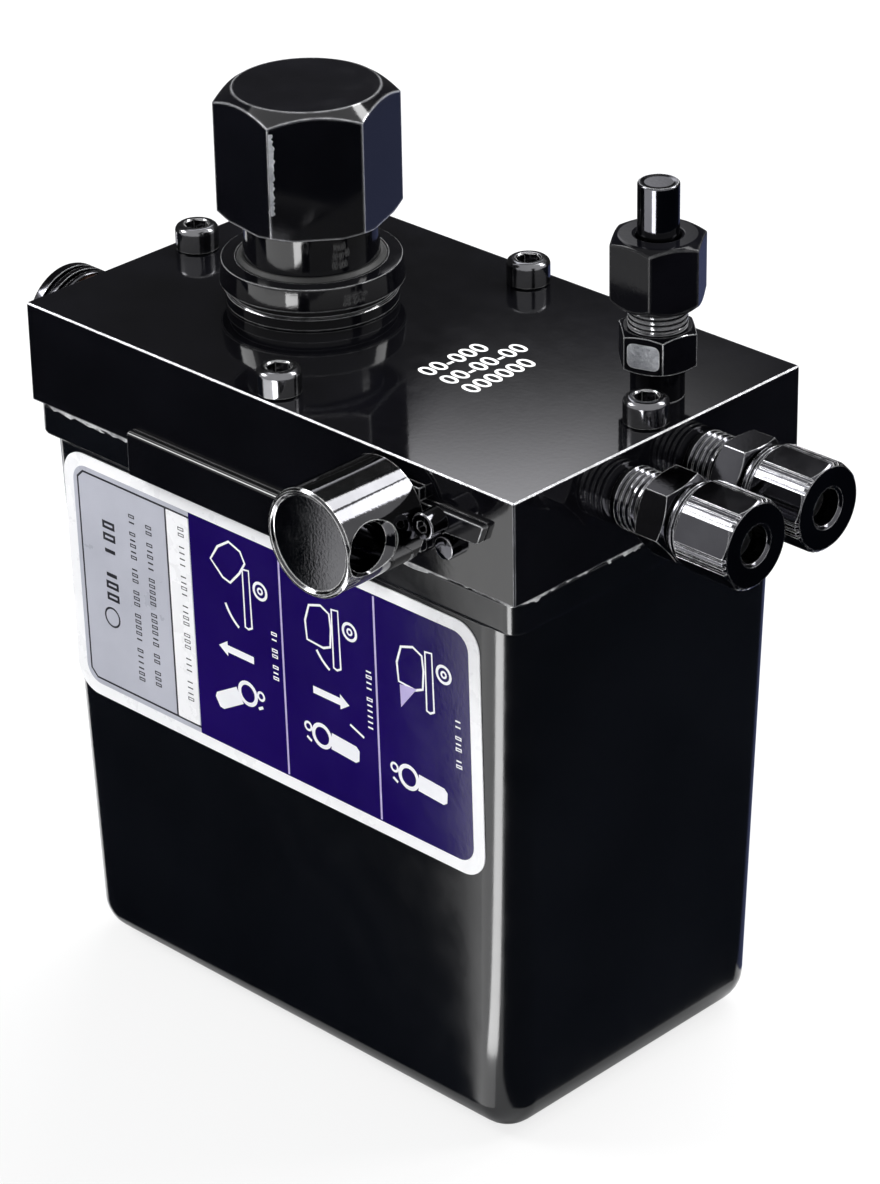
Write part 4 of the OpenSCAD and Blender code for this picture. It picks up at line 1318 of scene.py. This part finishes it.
def ring_points(x, z, radius, count=24, start=0, end=360):
    step = (end - start) / count
    return [(x + radius * math.cos(math.radians(start + step * k)),
             z + radius * math.sin(math.radians(start + step * k)))
            for k in range(count + (0 if end - start == 360 else 1))]


def shape(points):
    part = outline("shape", points, INK_TOP - INK_FOOT)
    part.data.transform(Matrix.Translation((0, 0, INK_FOOT * MM)))
    return part


def swung(points, x, z, turn, way=1):
    cos = math.cos(math.radians(turn))
    sin = math.sin(math.radians(turn))
    return [(x + way * (a * cos - b * sin), z + a * sin + b * cos) for a, b in points]


# %% [markdown]
# The pictures are general signs, drawn for this label: a cab tipped, a cab
# coming down and a cab at rest on its frame with one wheel, an arrow for
# the way it moves, and the lever at the setting that goes with it.

# %% Draw the three settings
def frame_and_wheel(x):
    bar = line([(x - 1.0, 104.2), (x - 1.0, 118.6), (x + 1.0, 118.9), (x + 1.2, 104.6),
                (x, 103.9)], 0.55, True)
    wheel = line(ring_points(x + 4.4, 115.0, 2.0), 0.7, True)
    hub = line(ring_points(x + 4.4, 115.0, 0.7, 12), 0.5, True)
    return [bar, wheel, hub]


def cab(x, z, turn):
    body = [(0, 0), (-0.4, -4.6), (-2.6, -5.6), (-7.6, -5.2),
            (-8.0, -0.6), (-6.6, 3.6), (-3.0, 4.8), (-0.4, 3.6)]
    return line(swung(body, x, z, turn), 0.6, True)


def arrow(x, z, way):
    body = [(-5.6, 0), (-2.8, 1.9), (-2.8, 0.9), (5.6, 0.9), (5.6, -0.9), (-2.8, -0.9), (-2.8, -1.9)]
    return shape([(x + way * a, z + way * b) for a, b in body])


def lever(x, z, way, turn):
    grip = [(3.0, -2.0), (10.6, -2.0), (11.6, -1.2), (11.6, 1.4), (10.6, 2.2), (3.0, 2.2)]
    grip = swung(grip, x, z, turn, way)
    ring = line(ring_points(x, z, 2.7), 1.0, True)
    lug = line(ring_points(x - way * 4.3, z + 0.9, 1.0, 14), 0.6, True)
    mark = line([(x - way * 3.4, z - 2.6), (x - way * 4.8, z - 1.8)], 0.7)
    return [shape(grip if way > 0 else grip[::-1]), ring, lug, mark]


art = []
art += frame_and_wheel(-7.2) + [cab(-9.2, 117.2, -38)]
art += [line(ring_points(-4.0, 112.5, 11.2, 10, 203, 236), 0.7), arrow(-11.6, 96.4, 1)]
art += lever(-8.6, 87.0, -1, -30)
art += frame_and_wheel(20.6) + [cab(19.2, 113.6, 0)]
art += [line(ring_points(24.0, 113.0, 11.4, 10, 213, 240), 0.7), arrow(18.4, 96.3, -1)]
art += lever(14.9, 85.2, 1, -4) + [line([(24.0, 91.6), (28.2, 89.9)], 0.6)]
art += frame_and_wheel(48.8) + [cab(47.2, 113.6, 0)]
art += lever(41.6, 85.2, 1, -4)
print("signs drawn from", len(art), "strokes")


# %% [markdown]
# Captions and notes are only suggested, by rows of noughts and ones. Their
# order is drawn at random from a fixed seed.

# %% Draw the rows
NOUGHTS = 0.6


def rows(x, z0, z1, height, seed, width, pitch):
    chance = random.Random(seed)
    foot, head = x - height / 2, x + height / 2
    marks = []
    z = z0
    left = chance.randint(2, 6)
    while z < z1:
        if left == 0:
            left = chance.randint(2, 6)
        elif chance.random() < NOUGHTS:
            wide = z + pitch * 0.42
            marks.append(line([(foot, z), (foot, wide), (head, wide), (head, z)], width, True))
            left -= 1
        else:
            marks.append(line([(foot, z + 0.2), (head, z + 0.2)], width))
            left -= 1
        z += pitch
    return marks


for x, z0, z1 in ((1.0, 94.2, 105.6), (30.4, 93.0, 107.2), (57.0, 93.6, 106.2)):
    art += rows(x, z0, z1, 1.5, round(x), 0.42, 1.4)
signs = stood_up(joined("label_signs", art))
finish(signs, "pump", [], ink_white)

RULE = 0.55
notes = rows(-52.4, 95.0, 114.0, 3.4, 3, 1.0, 3.1)
for x, z0, z1, seed in ((-44.3, 77.0, 120.5, 5), (-38.7, 77.6, 118.6, 8), (-27.8, 78.0, 122.4, 13)):
    notes += rows(x, z0, z1, 1.7, seed, 0.42, 1.5)
notes.append(line([(PANELS_MEET, 125.6), (-60.0, 125.6), (-61.9, 123.8),
                   (-61.9, 74.0), (-60.0, 72.1), (PANELS_MEET, 72.1)], RULE))
notes.append(line([(-32.7, 72.1), (-32.7, 125.6)], RULE))
notes.append(line(ring_points(-53.2, 90.2, 2.4), 0.5, True))
finish(stood_up(joined("label_notes", notes)), "pump", [], ink_black)

rules = [line([(x, 71.0), (x, 126.6)], RULE) for x in (3.6, 32.7)]
wedge = shape([(40.1, 102.2), (45.0, 108.4), (39.9, 107.8)])
finish(stood_up(joined("label_rules", rules + [wedge])), "pump", [], ink_lilac)


# %% [markdown]
# ## Last step
# The pieces that were made are counted.

# %% Count the pieces
print("pieces made:", len(made))
